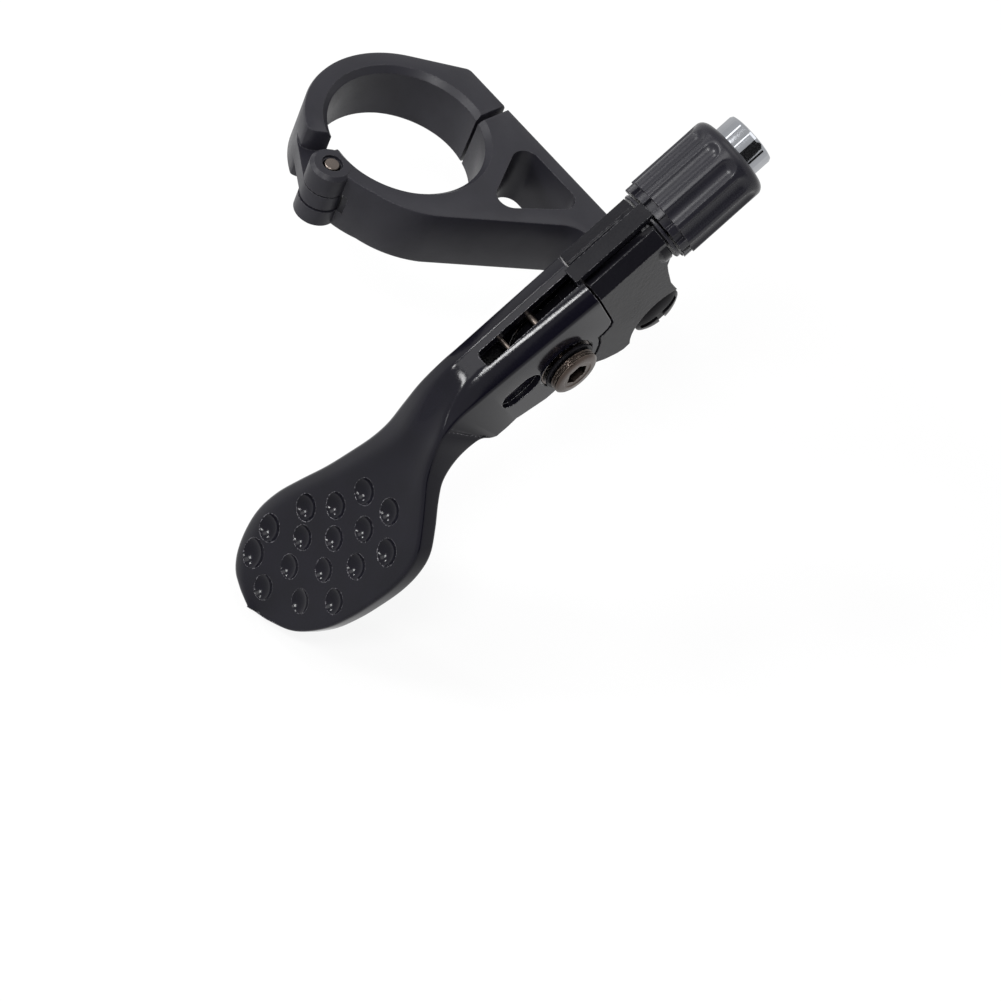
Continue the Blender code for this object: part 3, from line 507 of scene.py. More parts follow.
    def rod(
        self,
        name: str,
        radius: float,
        low: float,
        high: float,
        place: Matrix = IDENTITY,
        sides: int = 72,
    ) -> bpy.types.Object:
        """A cylinder along the frame's z axis, as a tool for a hole.

        Args:
            name: The tool's name.
            radius: Its radius.
            low: Where it starts.
            high: Where it ends.
            place: The frame that it is drawn in.
            sides: How many sides it has.

        Returns:
            The tool.
        """
        return self.turned(name, [(0, high), (radius, high), (radius, low), (0, low)], place, sides)

    def box(
        self, name: str, low: Sequence[float], high: Sequence[float], place: Matrix
    ) -> bpy.types.Object:
        """A box between two corners, as a tool for a slot.

        Args:
            name: The tool's name.
            low: Its lowest corner.
            high: Its highest corner.
            place: The frame that it is drawn in.

        Returns:
            The tool.
        """
        outline = [(low[0], low[1]), (high[0], low[1]), (high[0], high[1]), (low[0], high[1])]
        return self.prism(name, outline, low[2], high[2], place)

    def work(self, thing: bpy.types.Object, tool: bpy.types.Object, how: Cut = Cut.CUT) -> None:
        """Cuts, joins or intersects a piece with a tool.

        Args:
            thing: The piece.
            tool: The tool, which is cleared away when the piece is dressed.
            how: What the tool does.
        """
        modifier = thing.modifiers.new(tool.name, "BOOLEAN")
        modifier.operation = how.value
        modifier.solver = "EXACT"
        modifier.object = tool
        self.tools.append(tool)

    def settle(self, thing: bpy.types.Object, sharp: float) -> None:
        """Applies a piece's cuts, clears the tools away and shades its round faces smooth.

        Args:
            thing: The piece.
            sharp: The angle in degrees above which an edge stays sharp.
        """
        graph = bpy.context.evaluated_depsgraph_get()
        mesh = bpy.data.meshes.new_from_object(thing.evaluated_get(graph))
        thing.modifiers.clear()
        thing.data = mesh
        for tool in self.tools:
            bpy.data.objects.remove(tool)
        self.tools.clear()
        mesh.shade_smooth()
        mesh.set_sharp_from_angle(angle=math.radians(sharp))

    def hang(
        self,
        thing: bpy.types.Object,
        body: Body,
        finish: "Finish",
        *nodes: str,
        sharp: float = 30.0,
    ) -> None:
        """Settles a piece, dresses it and hangs it on its body in place of its nodes.

        Args:
            thing: The piece.
            body: The body that it rides on.
            finish: Its finish.
            nodes: The nodes that it stands for.
            sharp: The angle in degrees above which an edge stays sharp.
        """
        self.settle(thing, sharp)
        thing.data.materials.clear()
        thing.data.materials.append(finish.material())
        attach(thing, body.value)
        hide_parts(*nodes)
        LOG.info("%s: %d faces on %s", thing.name, len(thing.data.polygons), body.value)


class Graph:
    """A short way to write the nodes of a material or a world."""

    def __init__(self, owner: bpy.types.ID, shader: str = "Principled BSDF") -> None:
        """Turns the owner's nodes on.

        Args:
            owner: The material or the world.
            shader: The node that gives its surface or its light.
        """
        owner.use_nodes = True
        self.owner = owner
        self.tree = owner.node_tree
        self.shader = self.tree.nodes[shader]

    def plug(self, socket: bpy.types.NodeSocket, value: object) -> None:
        """Gives an input its value.

        Args:
            socket: The input.
            value: A number, colour or link.
        """
        if isinstance(value, bpy.types.NodeSocket):
            self.tree.links.new(value, socket)
        elif socket.type == "RGBA":
            socket.default_value = (*value, 1.0)
        else:
            socket.default_value = value

    def node(self, kind: str, sockets: dict | None = None, **settings: object) -> bpy.types.Node:
        """Adds a node.

        Args:
            kind: The node's type, without its ShaderNode prefix.
            sockets: Values or links for its inputs, by name or number.
            settings: Values for its own settings.

        Returns:
            The node.
        """
        made = self.tree.nodes.new("ShaderNode" + kind)
        for key, value in settings.items():
            setattr(made, key, value)
        for key, value in (sockets or {}).items():
            self.plug(made.inputs[key], value)
        return made

    def math(self, operation: str, first: object, second: object = 0.0) -> bpy.types.NodeSocket:
        """Does a sum on two numbers.

        Args:
            operation: The sum.
            first: The first number or link.
            second: The second number or link.

        Returns:
            The result's socket.
        """
        return self.node("Math", {0: first, 1: second}, operation=operation).outputs[0]

    def ramp(
        self, value: object, low: float, high: float, start: float, end: float
    ) -> bpy.types.NodeSocket:
        """Maps a number from one range to another and stops at its ends.

        Args:
            value: The number or link.
            low: Where the first range starts.
            high: Where it ends.
            start: Where the second range starts.
            end: Where it ends.

        Returns:
            The result's socket.
        """
        sockets = {
            "Value": value, "From Min": low, "From Max": high, "To Min": start, "To Max": end
        }
        return self.node("MapRange", sockets, clamp=True).outputs["Result"]

    def mix(self, share: object, first: object, second: object) -> bpy.types.NodeSocket:
        """Mixes two colours.

        Args:
            share: How much of the second colour.
            first: The first colour.
            second: The second colour.

        Returns:
            The mixed colour's socket.
        """
        sockets = {0: share, 6: first, 7: second}
        return self.node("Mix", sockets, data_type="RGBA").outputs[2]

    def feed(self, socket: str, value: object) -> None:
        """Feeds one of the shader's inputs.

        Args:
            socket: The input's name.
            value: A number, colour or link.
        """
        self.plug(self.shader.inputs[socket], value)

    def sight(self) -> bpy.types.NodeSocket:
        """Tells the rays of the camera, of gloss and of glass from the rest.

        Returns:
            The socket, which is 1 for them and 0 for the rest.
        """
        path = self.node("LightPath").outputs
        seen = self.math("MAXIMUM", path["Is Camera Ray"], path["Is Glossy Ray"])
        return self.math("MAXIMUM", seen, path["Is Transmission Ray"])


@dataclass(frozen=True)
class Finish:
    """A finish with grain, slow colour changes, and rubbed edges that also carry a painted
    highlight.

    Attributes:
        name: The material's name.
        slot: The record's material slot, which is not used.
        colour: Its main colour.
        shade: The colour that the main one drifts to.
        worn_and_highlit_colour: The pale colour of its edges: rubbed wear and a painted highlight
            along them.
        metallic: How metallic it is.
        rough: Its lowest and highest roughness.
        grain: The fine grain's cells per metre and its depth.
        peel: The coarse grain's cells per metre and its depth.
        edge: How far its edges are rounded.
        wear_and_highlight: How much of the edges is rubbed and lightened by the painted highlight.
        gloss: How strongly it mirrors, where 0.5 is plain varnish.
        stretch: How much longer the fine grain is along each axis.
        drift: The slow colour change's cells per metre.
    """

    name: str
    slot: str
    colour: Colour
    shade: Colour
    worn_and_highlit_colour: Colour
    metallic: float
    rough: tuple[float, float]
    grain: tuple[float, float]
    peel: tuple[float, float]
    edge: float = 0.00018
    wear_and_highlight: float = 0.5
    gloss: float = 0.5
    stretch: Colour = (1.0, 1.0, 1.0)
    drift: float = 190.0

    def material(self) -> bpy.types.Material:
        """Makes the material, or returns the one made before.

        Returns:
            The material.
        """
        known = bpy.data.materials.get(self.name)
        if known:
            return known
        graph = Graph(bpy.data.materials.new(self.name))
        place = graph.node("TexCoord").outputs["Object"]
        slow = graph.node(
            "TexNoise", {"Vector": place, "Scale": self.drift, "Detail": 4.0}
        ).outputs["Fac"]
        long = graph.node("Mapping", {"Vector": place, "Scale": self.stretch}).outputs[0]
        fine = graph.node(
            "TexNoise", {"Vector": long, "Scale": self.grain[0], "Detail": 3.0}
        ).outputs["Fac"]
        peel = graph.node(
            "TexNoise", {"Vector": place, "Scale": self.peel[0], "Detail": 2.0}
        ).outputs["Fac"]
        edge = graph.node("Bevel", {"Radius": self.edge}, samples=4).outputs[0]
        true = graph.node("NewGeometry").outputs["Normal"]
        turn = graph.node(
            "VectorMath", {0: edge, 1: true}, operation="DOT_PRODUCT"
        ).outputs["Value"]
        # Near the edges the colour turns pale: partly rubbed wear, partly a painted highlight along
        # the edges.
        edge_mask = graph.ramp(turn, 0.80, 0.985, 1.0, 0.0)
        speck = graph.ramp(fine, 0.46, 0.60, 0.0, 1.0)
        rubbed_and_highlit = graph.math("MULTIPLY", edge_mask, speck)
        rubbed_and_highlit = graph.math("MULTIPLY", rubbed_and_highlit, self.wear_and_highlight)
        drift = graph.ramp(slow, 0.35, 0.65, 0.0, 1.0)
        body = graph.mix(drift, self.colour, self.shade)
        graph.feed("Base Color", graph.mix(rubbed_and_highlit, body, self.worn_and_highlit_colour))
        dull = graph.ramp(slow, 0.30, 0.70, *self.rough)
        mottle = graph.ramp(fine, 0.35, 0.65, -0.03, 0.03)
        graph.feed("Roughness", graph.math("ADD", dull, mottle))
        graph.feed("Metallic", self.metallic)
        graph.feed("Specular IOR Level", self.gloss)
        sockets = {"Height": peel, "Distance": self.peel[1], "Normal": edge, "Strength": 1.0}
        waves = graph.node("Bump", sockets).outputs[0]
        sockets = {"Height": fine, "Distance": self.grain[1], "Normal": waves, "Strength": 1.0}
        graph.feed("Normal", graph.node("Bump", sockets).outputs[0])
        return graph.owner


# In these finishes the pale edge colour is rubbed wear and a painted edge highlight in one.
ANODISED = Finish(
    "satin_anodised", "black_anodised",
    (0.0150, 0.0145, 0.0195), (0.0118, 0.0114, 0.0155), (0.15, 0.147, 0.16), 0.0,
    (0.34, 0.44), (5200.0, 0.000006), (900.0, 0.000004), wear_and_highlight=0.5, gloss=0.21,
)
LEVER_BLACK = Finish(
    "gloss_black_lever", "gloss_black",
    (0.0042, 0.0039, 0.0075), (0.0032, 0.0030, 0.0058), (0.42, 0.41, 0.44), 0.0,
    (0.09, 0.16), (4200.0, 0.000004), (420.0, 0.000003), wear_and_highlight=0.9, gloss=0.16,
)
BASE_BLACK = Finish(
    "granular_black_base", "gloss_black",
    (0.0070, 0.0068, 0.0090), (0.0050, 0.0048, 0.0068), (0.20, 0.20, 0.21), 0.0,
    (0.16, 0.26), (3400.0, 0.000018), (1500.0, 0.000028), wear_and_highlight=0.9, gloss=0.08,
)
PLASTIC = Finish(
    "satin_black_plastic", "black_plastic",
    (0.0150, 0.0145, 0.0195), (0.0110, 0.0108, 0.0150), (0.20, 0.19, 0.20), 0.0,
    (0.22, 0.32), (5200.0, 0.000003), (700.0, 0.000003), wear_and_highlight=0.45, gloss=0.22,
)
STEEL = Finish(
    "turned_steel", "pale_steel",
    (0.080, 0.062, 0.053), (0.055, 0.043, 0.037), (0.52, 0.45, 0.39), 1.0,
    (0.26, 0.40), (4800.0, 0.000006), (1200.0, 0.000003), edge=0.00010, wear_and_highlight=0.9,
)
SPRING_STEEL = Finish(
    "spring_steel", "pale_steel",
    (0.150, 0.127, 0.112), (0.105, 0.089, 0.079), (0.30, 0.27, 0.25), 1.0,
    (0.22, 0.34), (6000.0, 0.000003), (1500.0, 0.000002), edge=0.00005, wear_and_highlight=0.3,
)
OXIDE = Finish(
    "blackened_steel", "black_oxide",
    (0.0070, 0.0066, 0.0085), (0.0050, 0.0048, 0.0062), (0.16, 0.15, 0.16), 0.0,
    (0.20, 0.32), (5200.0, 0.000004), (1300.0, 0.000004), edge=0.00010, wear_and_highlight=0.6, gloss=0.05,
)
CHROME = Finish(
    "polished_chrome", "chrome",
    (0.34, 0.35, 0.37), (0.28, 0.29, 0.31), (0.80, 0.80, 0.80), 1.0,
    (0.06, 0.11), (5200.0, 0.000002), (1500.0, 0.000002), edge=0.00008, wear_and_highlight=0.5,
)


@dataclass
class Clamp(Assembly):
    """The hinged clamp and the arm that carries the base."""

    bore: float = 0.0111
    bore_chamfer: float = 0.0008
    ring: float = 0.0145
    high: float = 0.0044
    low: float = -0.0050
    chamfer: float = 0.0005
    shoulder: Point2 = (-0.0052, 0.0161)
    split_x: float = 0.0028
    split_gap: float = 0.0006
    knuckle: float = 0.0030
    tongue: tuple[float, float] = (-0.0017, 0.0007)
    pin: float = 0.00105
    arm_ring: float = 0.0141
    swell: float = 0.0017
    bar_end: float = 0.0312
    boss: float = 0.0042
    boss_end: float = ARM_END
    bolt: float = 0.0014
    bolt_head: float = 0.0025
    bolt_seat: float = -0.0046
    bolt_swing: float = 0.00055
    bolt_head_room: float = 0.0078
    thread_depth: float = 0.0033
    pocket: float = 0.0039

    def bore_tool(self, name: str) -> bpy.types.Object:
        """The handlebar's bore with its chamfered edges.

        Args:
            name: The tool's name.

        Returns:
            The tool.
        """
        wide = self.bore + self.bore_chamfer + OVER
        profile = [
            (0, self.high + OVER), (wide, self.high + OVER),
            (self.bore, self.high - self.bore_chamfer),
        ]
        profile += [
            (self.bore, self.low + self.bore_chamfer), (wide, self.low - OVER), (0, self.low - OVER)
        ]
        return self.turned(name, profile, steps=180)

    def arm_outline(self) -> Profile:
        """The arm and its half of the ring, seen along the bore."""
        split = self.split_x + self.split_gap / 2
        rise = math.radians(59.8)
        start = (0.0145, -0.0065)
        bottom = 0.0110
        top = 0.0161
        run = (bottom - start[1]) / math.tan(rise)
        swell = [
            polar((0, 0), self.arm_ring + self.swell * share, -60 + 35 * share)
            for share in fractions(14)
        ]
        corners = [(*start, 0), (start[0] + run, bottom, 0.0050), (self.bar_end, bottom, 0)]
        bar = rounded(corners + [(self.bar_end, top, 0)])[1:]
        ring = arc((0, 0), self.arm_ring, -76, -63, 6)
        knuckle = [polar(HINGE, self.knuckle * 0.8, 195), polar(HINGE, self.knuckle * 0.8, -70)]
        inside = [(split, top), (split, self.bore * 0.8), (-self.bore * 0.12, -self.bore * 0.9)]
        return knuckle + ring + swell + bar + inside

    def make_arm(self) -> None:
        """The fixed half of the clamp and the arm."""
        low, high = self.low, self.high
        arm = self.prism("arm_forging", self.arm_outline(), low, high, chamfer=self.chamfer, soft=1)
        proud = FIT / 2
        edge = self.knuckle - self.chamfer
        profile = [
            (0, high + proud), (edge, high + proud), (self.knuckle, high + proud - self.chamfer)
        ]
        profile += [
            (self.knuckle, low - proud + self.chamfer), (edge, low - proud), (0, low - proud)
        ]
        self.work(arm, self.turned("arm_knuckle", profile, HINGE_FRAME, 80), Cut.JOIN)
        start = self.bar_end - self.boss * 1.2
        place = SCREW_FRAME @ Matrix.Translation((0, 0, -AXIS_X))
        boss = [
            (0, self.boss_end), (self.boss, self.boss_end), (self.boss, start),
            (0, start - self.boss),
        ]
        self.work(arm, self.turned("arm_boss", boss, place, 88), Cut.JOIN)
        self.work(arm, self.bore_tool("arm_bore"))
        window = rounded(mm((8.3, 13.8, 2.1), (16.2, 1, 2.1), (22.6, 13.8, 2.1)), 12)
        self.work(arm, self.prism("arm_window", window, low - OVER, high + OVER))
        pocket_low = (
            HINGE[0] - self.knuckle * 2, HINGE[1] - self.knuckle - OVER, self.tongue[0] - GAP
        )
        pocket_high = (HINGE[0] + self.pocket, HINGE[1] + self.knuckle + OVER, self.tongue[1] + GAP)
        self.work(arm, self.box("tongue_pocket", pocket_low, pocket_high, IDENTITY))
        hole = self.rod(
            "arm_pin_hole", self.pin + FIT, low - 2 * OVER, high + 2 * OVER, HINGE_FRAME, 60
        )
        self.work(arm, hole)
        self.work(
            arm,
            self.rod("pin_recess", self.pin + 2 * FIT, high - 2 * FIT, high + OVER, HINGE_FRAME),
        )
        face = self.split_x + self.split_gap / 2
        radius = self.bolt + FIT
        swung = (CLAMP_BOLT + self.bolt_swing, 0)
        slot = arc((CLAMP_BOLT, 0), radius, -90, -270) + arc(swung, radius, 90, -90)
        swing = axes_frame(Vector(), Vector((0, 1, 0)), Vector((0, 0, 1)))
        self.work(
            arm, self.prism("arm_bolt_hole", slot, face - OVER, face + self.thread_depth, swing)
        )
        end = self.boss_end
        hole = self.rod("arm_screw_hole", SCREW_HOLE, end - SCREW_DEPTH, end + OVER, place, 60)
        self.work(arm, hole)
        self.hang(arm, Body.MOUNT, ANODISED, "clamp_arm")

    def make_jaw(self) -> None:
        """The hinged half of the clamp."""
        face = self.split_x - self.split_gap / 2
        x, y = self.shoulder
        start = math.degrees(math.atan2(y, x) + math.acos(self.ring / math.hypot(x, y)))
        ring = arc((0, 0), self.ring, start, 243, 50)
        wall = self.ring - self.bore
        tip = ((0.03, 244.4), (0.12, 245.5), (0.25, 246.6), (0.4, 247.5))
        end = [polar((0, 0), self.ring - wall * share, angle) for share, angle in tip]
        inside = [polar((0, 0), self.bore * 0.85, 251), (face, self.bore * 0.8)]
        corners = [(face, y, 0), (x, y, 0.0014), (*ring[0], 0)]
        outline = rounded(corners)[:-1] + ring + end + inside
        jaw = self.prism("jaw_forging", outline, self.low, self.high, chamfer=self.chamfer, soft=1)
        outer = [polar((0, 0), self.ring, 225), polar((0, 0), self.ring + FIT, 240)]
        outer += arc(HINGE, self.knuckle - FIT / 2, 232, 440, 40)
        outer += [polar((0, 0), self.bore * 0.9, 255), (-0.006, -0.0085)]
        self.work(jaw, self.prism("jaw_tongue", outer, *self.tongue), Cut.JOIN)
        self.work(jaw, self.bore_tool("jaw_bore"))
        self.work(
            jaw, self.rod("jaw_pin_hole", self.pin + FIT, self.low, self.high, HINGE_FRAME, 60)
        )
        hole = self.bolt + FIT
        seat = self.bolt_seat
        end = self.split_x + OVER
        self.work(jaw, self.rod("jaw_bolt_hole", hole, seat - OVER, end, CLAMP_BOLT_FRAME, 60))
        head = self.bolt_head + GAP
        self.work(
            jaw,
            self.rod("jaw_bolt_seat", head, seat - self.bolt_head_room, seat, CLAMP_BOLT_FRAME, 72),
        )
        self.hang(jaw, Body.JAW, ANODISED, "clamp_jaw")

    def make_bolt(self) -> None:
        """The socket screw that closes the jaw, with a knurled head and cut threads' ends."""
        under = self.bolt_seat - FIT
        top = under - 0.0026
        tip = self.split_x + self.split_gap / 2 + 0.0030
        soft = 0.00025
        profile = [(0, tip), (self.bolt - soft, tip), (self.bolt, tip - soft)]
        profile += [(self.bolt, under), (self.bolt_head, under), (self.bolt_head, top + 2 * soft)]
        profile += [(self.bolt_head - soft, top + soft), (self.bolt_head - 2 * soft, top), (0, top)]

        def knurl(radius: float, height: float, angle: float) -> float:
            """Cuts the head's rim into fine flutes."""
            if radius < self.bolt_head - soft / 2 or height > under:
                return radius
            return radius - 0.00006 * (1 + math.cos(angle * 24))

        bolt = self.turned("clamp_screw", profile, CLAMP_BOLT_FRAME, 144, knurl)
        key = self.bolt_head / 2
        depth = top + 0.0014
        self.work(bolt, self.rod("clamp_socket", key, top - OVER, depth, CLAMP_BOLT_FRAME, 6))
        self.hang(bolt, Body.JAW, OXIDE, "clamp_bolt")

    def make_pin(self) -> None:
        """The hinge pin with its broken edges."""
        pin = self.turned(
            "hinge_rivet", dowel(self.pin, self.low, self.high, 0.00012), HINGE_FRAME, 64
        )
        self.hang(pin, Body.MOUNT, SPRING_STEEL, "hinge_pin")

    def build(self) -> None:
        """Makes every piece of the clamp."""
        self.make_arm()
        self.make_jaw()
        self.make_bolt()
        self.make_pin()


@dataclass
class Base(Assembly):
    """The base that carries the pivot and the adjuster, and its screw."""

    start: float = 0.0053
    end: float = 0.0165
    boss: float = 0.00475
    ear_high: float = 0.00133
    ear_low: float = -0.0012
    boss_foot: float = 0.0152
    pivot_hole: float = 0.0030
    spot_face: float = 0.0059
    thread: float = 0.0027
    counterbore: float = 0.0035
    screw_head: float = 0.00375
    screw_height: float = 0.0021
    screw_shank: float = 0.0020
    slot_half: float = 0.00055
    slot_depth: float = 0.0010

    def outline(self) -> Profile:
        """The base seen from the side, in (b, t), with the ear under the screw's head."""
        right = [(self.end, TOP), (self.end, -0.0010), (0.0161, -0.0021), (0.0153, -0.0035)]
        right += [(0.0150, -0.0053), (0.0146, -0.0090), (0.0147, -0.0111), (0.0151, -0.0140)]
        ear = arc(SCREW, 0.0038, 15, -165, 40)
        lump = mm((6.6, -16.2), (5.7, -16), (4.5, -16.1), (3.4, -15.6), (1.6, -14.2))
        notch = arc(PIVOT, 0.0056, -66, -5, 20)
        corner = [(0.0034, -0.0070), (0.0047, -0.0066), (0.0052, -0.0060), (self.start, -0.0052)]
        return right + ear + lump + notch + corner + [(self.start, TOP)]

    def make_casting(self) -> None:
        """The base itself."""
        wide = HALF + OVER
        base = self.prism("base_casting", self.outline(), -HALF, HALF, SIDE_FRAME)
        section = [(-0.03, HALF), (SHOULDER, HALF), (TOP, FLAT)]
        section += [(TOP, -FLAT), (SHOULDER, -HALF), (-0.03, -HALF)]
        tool = self.prism("base_section", section, -0.01, self.end + OVER, BARREL_FRAME)
        self.work(base, tool, Cut.KEEP)
        foot = self.boss_foot
        boss = [(0, self.end), (self.boss - FIT, self.end), (self.boss, self.end - FIT)]
        boss += [(self.boss, foot), (self.boss - OVER, foot - OVER), (0, foot - OVER)]
        self.work(base, self.turned("base_boss", boss, BARREL_FRAME, 100), Cut.JOIN)
        reach = self.start + OVER
        root = [(0.0019, -0.0016), (reach, -0.0012), (reach, -0.0100), (0.0019, -0.0118)]
        self.work(base, self.prism("tongue_root", root, -TONGUE, TONGUE, SIDE_FRAME), Cut.JOIN)
        tongue = arc(PIVOT, 0.0042, 88, 272, 40) + [(0.0029, -0.0113), (0.0029, -0.0019)]
        self.work(base, self.prism("tongue_end", tongue, -TONGUE, -0.0001, SIDE_FRAME), Cut.JOIN)
        self.work(base, self.rod("base_pivot_hole", self.pivot_hole, -wide, wide, PIVOT_FRAME))
        self.work(
            base, self.rod("near_spot_face", self.spot_face, self.ear_high, wide, SCREW_FRAME, 96)
        )
        self.work(
            base, self.rod("far_spot_face", self.spot_face, -wide, self.ear_low, SCREW_FRAME, 96)
        )
        self.work(base, self.rod("base_screw_hole", SCREW_HOLE, -wide, wide, SCREW_FRAME, 60))
        self.work(
            base, self.rod("base_thread", self.thread, self.start - OVER, self.end, BARREL_FRAME)
        )
        over = self.end + OVER
        bore = self.rod("base_counterbore", self.counterbore, SPRING_SEAT, over, BARREL_FRAME)
        self.work(base, bore)
        low = (-SLOT, self.start - OVER, 0)
        self.work(base, self.box("groove", low, (SLOT, over, 0.0060), LEVER_FRAME))
        self.hang(base, Body.MOUNT, BASE_BLACK, "lever_base", sharp=24.0)

    def make_screw(self) -> None:
        """The pan head screw that holds the base to the arm."""
        seat = self.ear_high + FIT
        top = seat + self.screw_height
        radius = self.screw_head
        shank = self.screw_shank
        crown = [(radius * share, top - 0.0009 * share**3) for share in fractions(12)]
        tip = ARM_END - AXIS_X - SCREW_DEPTH + GAP
        rim = [(radius, seat + 0.0001), (radius - 0.0001, seat), (shank, seat)]
        end = [(shank, tip + FIT), (shank - FIT, tip), (0, tip)]
        screw = self.turned("pan_screw", crown + rim + end, SCREW_FRAME)
        long = radius * 0.83
        half = self.slot_half
        floor = top - self.slot_depth
        over = top + OVER
        slot = self.box("screw_slot", (-long, -half, floor), (long, half, over), SCREW_FRAME)
        self.work(screw, slot)
        reach = radius + OVER
        cross = self.box("screw_cross", (-half, -reach, floor), (half, 0, over), SCREW_FRAME)
        self.work(screw, cross)
        self.hang(screw, Body.MOUNT, OXIDE, "base_screw")

    def build(self) -> None:
        """Makes the base and its screw."""
        self.make_casting()
        self.make_screw()


@dataclass
class Pivot(Assembly):
    """The lever's pivot: bolt, washers, sleeve, bearings, nut and springs."""

    face: float = 0.00613
    head: float = 0.0013
    radius: float = 0.0035
    shank: float = 0.0020
    washer: float = 0.0039
    washer_height: float = 0.00045
    bearing: float = 0.0041

    def make_bolt(self) -> None:
        """The bolt with its grooved rim and hexagon socket."""
        under = self.face - self.head
        rim = self.radius
        step = 0.0001
        end = -0.00683 - FIT
        profile = [(0, self.face - step), (rim * 0.62, self.face - step), (rim * 0.66, self.face)]
        profile += [
            (rim - 4 * step, self.face), (rim - 2 * step, self.face - step),
            (rim, self.face - 3 * step),
        ]
        for groove in range(2):
            middle = self.face - 0.0006 - groove * 0.0004
            profile += [(rim, middle + step), (rim - 1.5 * step, middle), (rim, middle - step)]
        profile += [(rim, under + step), (rim - step, under), (self.shank, under)]
        profile += [(self.shank, end + step), (self.shank - step, end), (0, end)]
        bolt = self.turned("pivot_screw", profile, PIVOT_FRAME, 112)
        key = hexagon(0.0030)
        tool = self.rod("pivot_socket", key, self.face - 0.0018, self.face + OVER, PIVOT_FRAME, 6)
        self.work(bolt, tool)
        self.hang(bolt, Body.MOUNT, STEEL, "pivot_bolt")

    def ring(
        self, name: str, node: str, sizes: Sequence[float], body: Body, finish: Finish
    ) -> None:
        """A plain ring with broken edges, such as a washer or a bearing.

        Args:
            name: The piece's name.
            node: The node that it stands for.
            sizes: Its inner and outer radius, its low and its high face.
            body: The body that it rides on.
            finish: Its finish.
        """
        inner, outer, low, high = sizes
        soft = min(0.00012, (high - low) / 4)
        profile = [
            (outer - soft, high), (outer, high - soft), (outer, low + soft), (outer - soft, low)
        ]
        profile += [
            (inner + soft, low), (inner, low + soft), (inner, high - soft), (inner + soft, high)
        ]
        self.hang(self.turned(name, profile, PIVOT_FRAME), body, finish, node)

    def make_nut(self) -> None:
        """The hexagon nut on the far side."""
        high = -HALF - 2 * FIT - self.washer_height
        low = high - 0.0016
        flats = 0.0065
        across = hexagon(flats)
        nut = self.rod("pivot_hexagon", across, low, high, PIVOT_FRAME, 6)
        crown = flats / 2 * 1.05
        soft = 0.00035
        blank = [(0, high + soft), (crown, high + soft / 2), (across + soft, high - soft)]
        blank += [(across + soft, low + soft), (crown, low - soft / 8), (0, low - soft / 4)]
        self.work(nut, self.turned("nut_blank", blank, PIVOT_FRAME), Cut.KEEP)
        self.work(
            nut, self.rod("nut_hole", self.shank + FIT, low - OVER, high + OVER, PIVOT_FRAME, 60)
        )
        self.hang(nut, Body.MOUNT, OXIDE, "pivot_nut")

    def make_spring(self) -> None:
        """The torsion spring round the sleeve, from the base to a bar under the lever's roof."""
        wire = 0.00033
        coil = 0.00335
        start = 0.0005
        pitch = 0.00076
        turns = 2
        bar = (-0.00763, 0.0023)
        towards = Vector((bar[0] - PIVOT[0], bar[1] - PIVOT[1]))
        leave = math.degrees(math.atan2(towards.y, towards.x) + math.acos(coil / towards.length))
        last = leave - 360 * (turns + 1)
        first = -90.0
        count = 40 * turns + 14
        foot = PIVOT[0] + math.sqrt(LEVER_BOSS**2 - (coil + wire) ** 2)
        points = [Vector((start, foot, PIVOT[1] - coil))]
        for step in range(count + 1):
            angle = first + (last - first) * step / count
            b, t = polar(PIVOT, coil, angle)
            points.append(Vector((start + pitch * (first - angle) / 360, b, t)))
        side = points[-1].x
        points.append(Vector((side, *bar)).lerp(points[-1], 0.08))
        points.append(Vector((side - wire, *bar)))
        points.append(Vector((-0.0020, *bar)))
        spring = self.wire("torsion_spring", points, wire, LEVER_FRAME)
        self.hang(spring, Body.MOUNT, SPRING_STEEL, "return_spring")

    def build(self) -> None:
        """Makes every piece on the pivot."""
        self.make_bolt()
        hole = self.shank + FIT
        under = self.face - self.head - FIT
        far = -HALF - FIT
        near = near_cheek(PIVOT[0]) - FIT
        washer, bearing, thin = self.washer, self.bearing, self.washer_height
        mount, lever = Body.MOUNT, Body.LEVER
        rings = (
            ("flange_washer", "pivot_washer", (hole, washer, under - thin, under), mount, OXIDE),
            ("back_washer", "far_washer", (hole, washer, far - thin, far), mount, OXIDE),
            ("pivot_bush", "pivot_sleeve", (hole, hole + 0.0006, -TONGUE, TONGUE), mount, STEEL),
            ("near_race", "near_bearing", (hole, bearing, CHANNEL, near), lever, STEEL),
            ("far_race", "far_bearing", (hole, bearing, FIT - HALF, -CHANNEL), lever, STEEL),
        )
        for ring in rings:
            self.ring(*ring)
        self.make_nut()
        self.make_spring()


DIMPLES = mm(
    (10.8, -3.1, 2), (15.6, -6.3, 2), (19.3, -10.7, 2.02), (9.9, 2.3, 2.05), (25.8, -14.7, 2.15),
    (14.7, -0.1, 2), (19.2, -3.9, 2), (22.9, -8.8, 2.02), (14.3, 5.3, 2.05), (30.4, -15.1, 2.35),
    (27.5, -8.4, 2.12), (23.7, -2.9, 2.05), (19.4, 1.8, 2.05), (32.8, -10.6, 2.2),
    (29.8, -3.9, 2.32), (25.6, 1.4, 2.12)
)


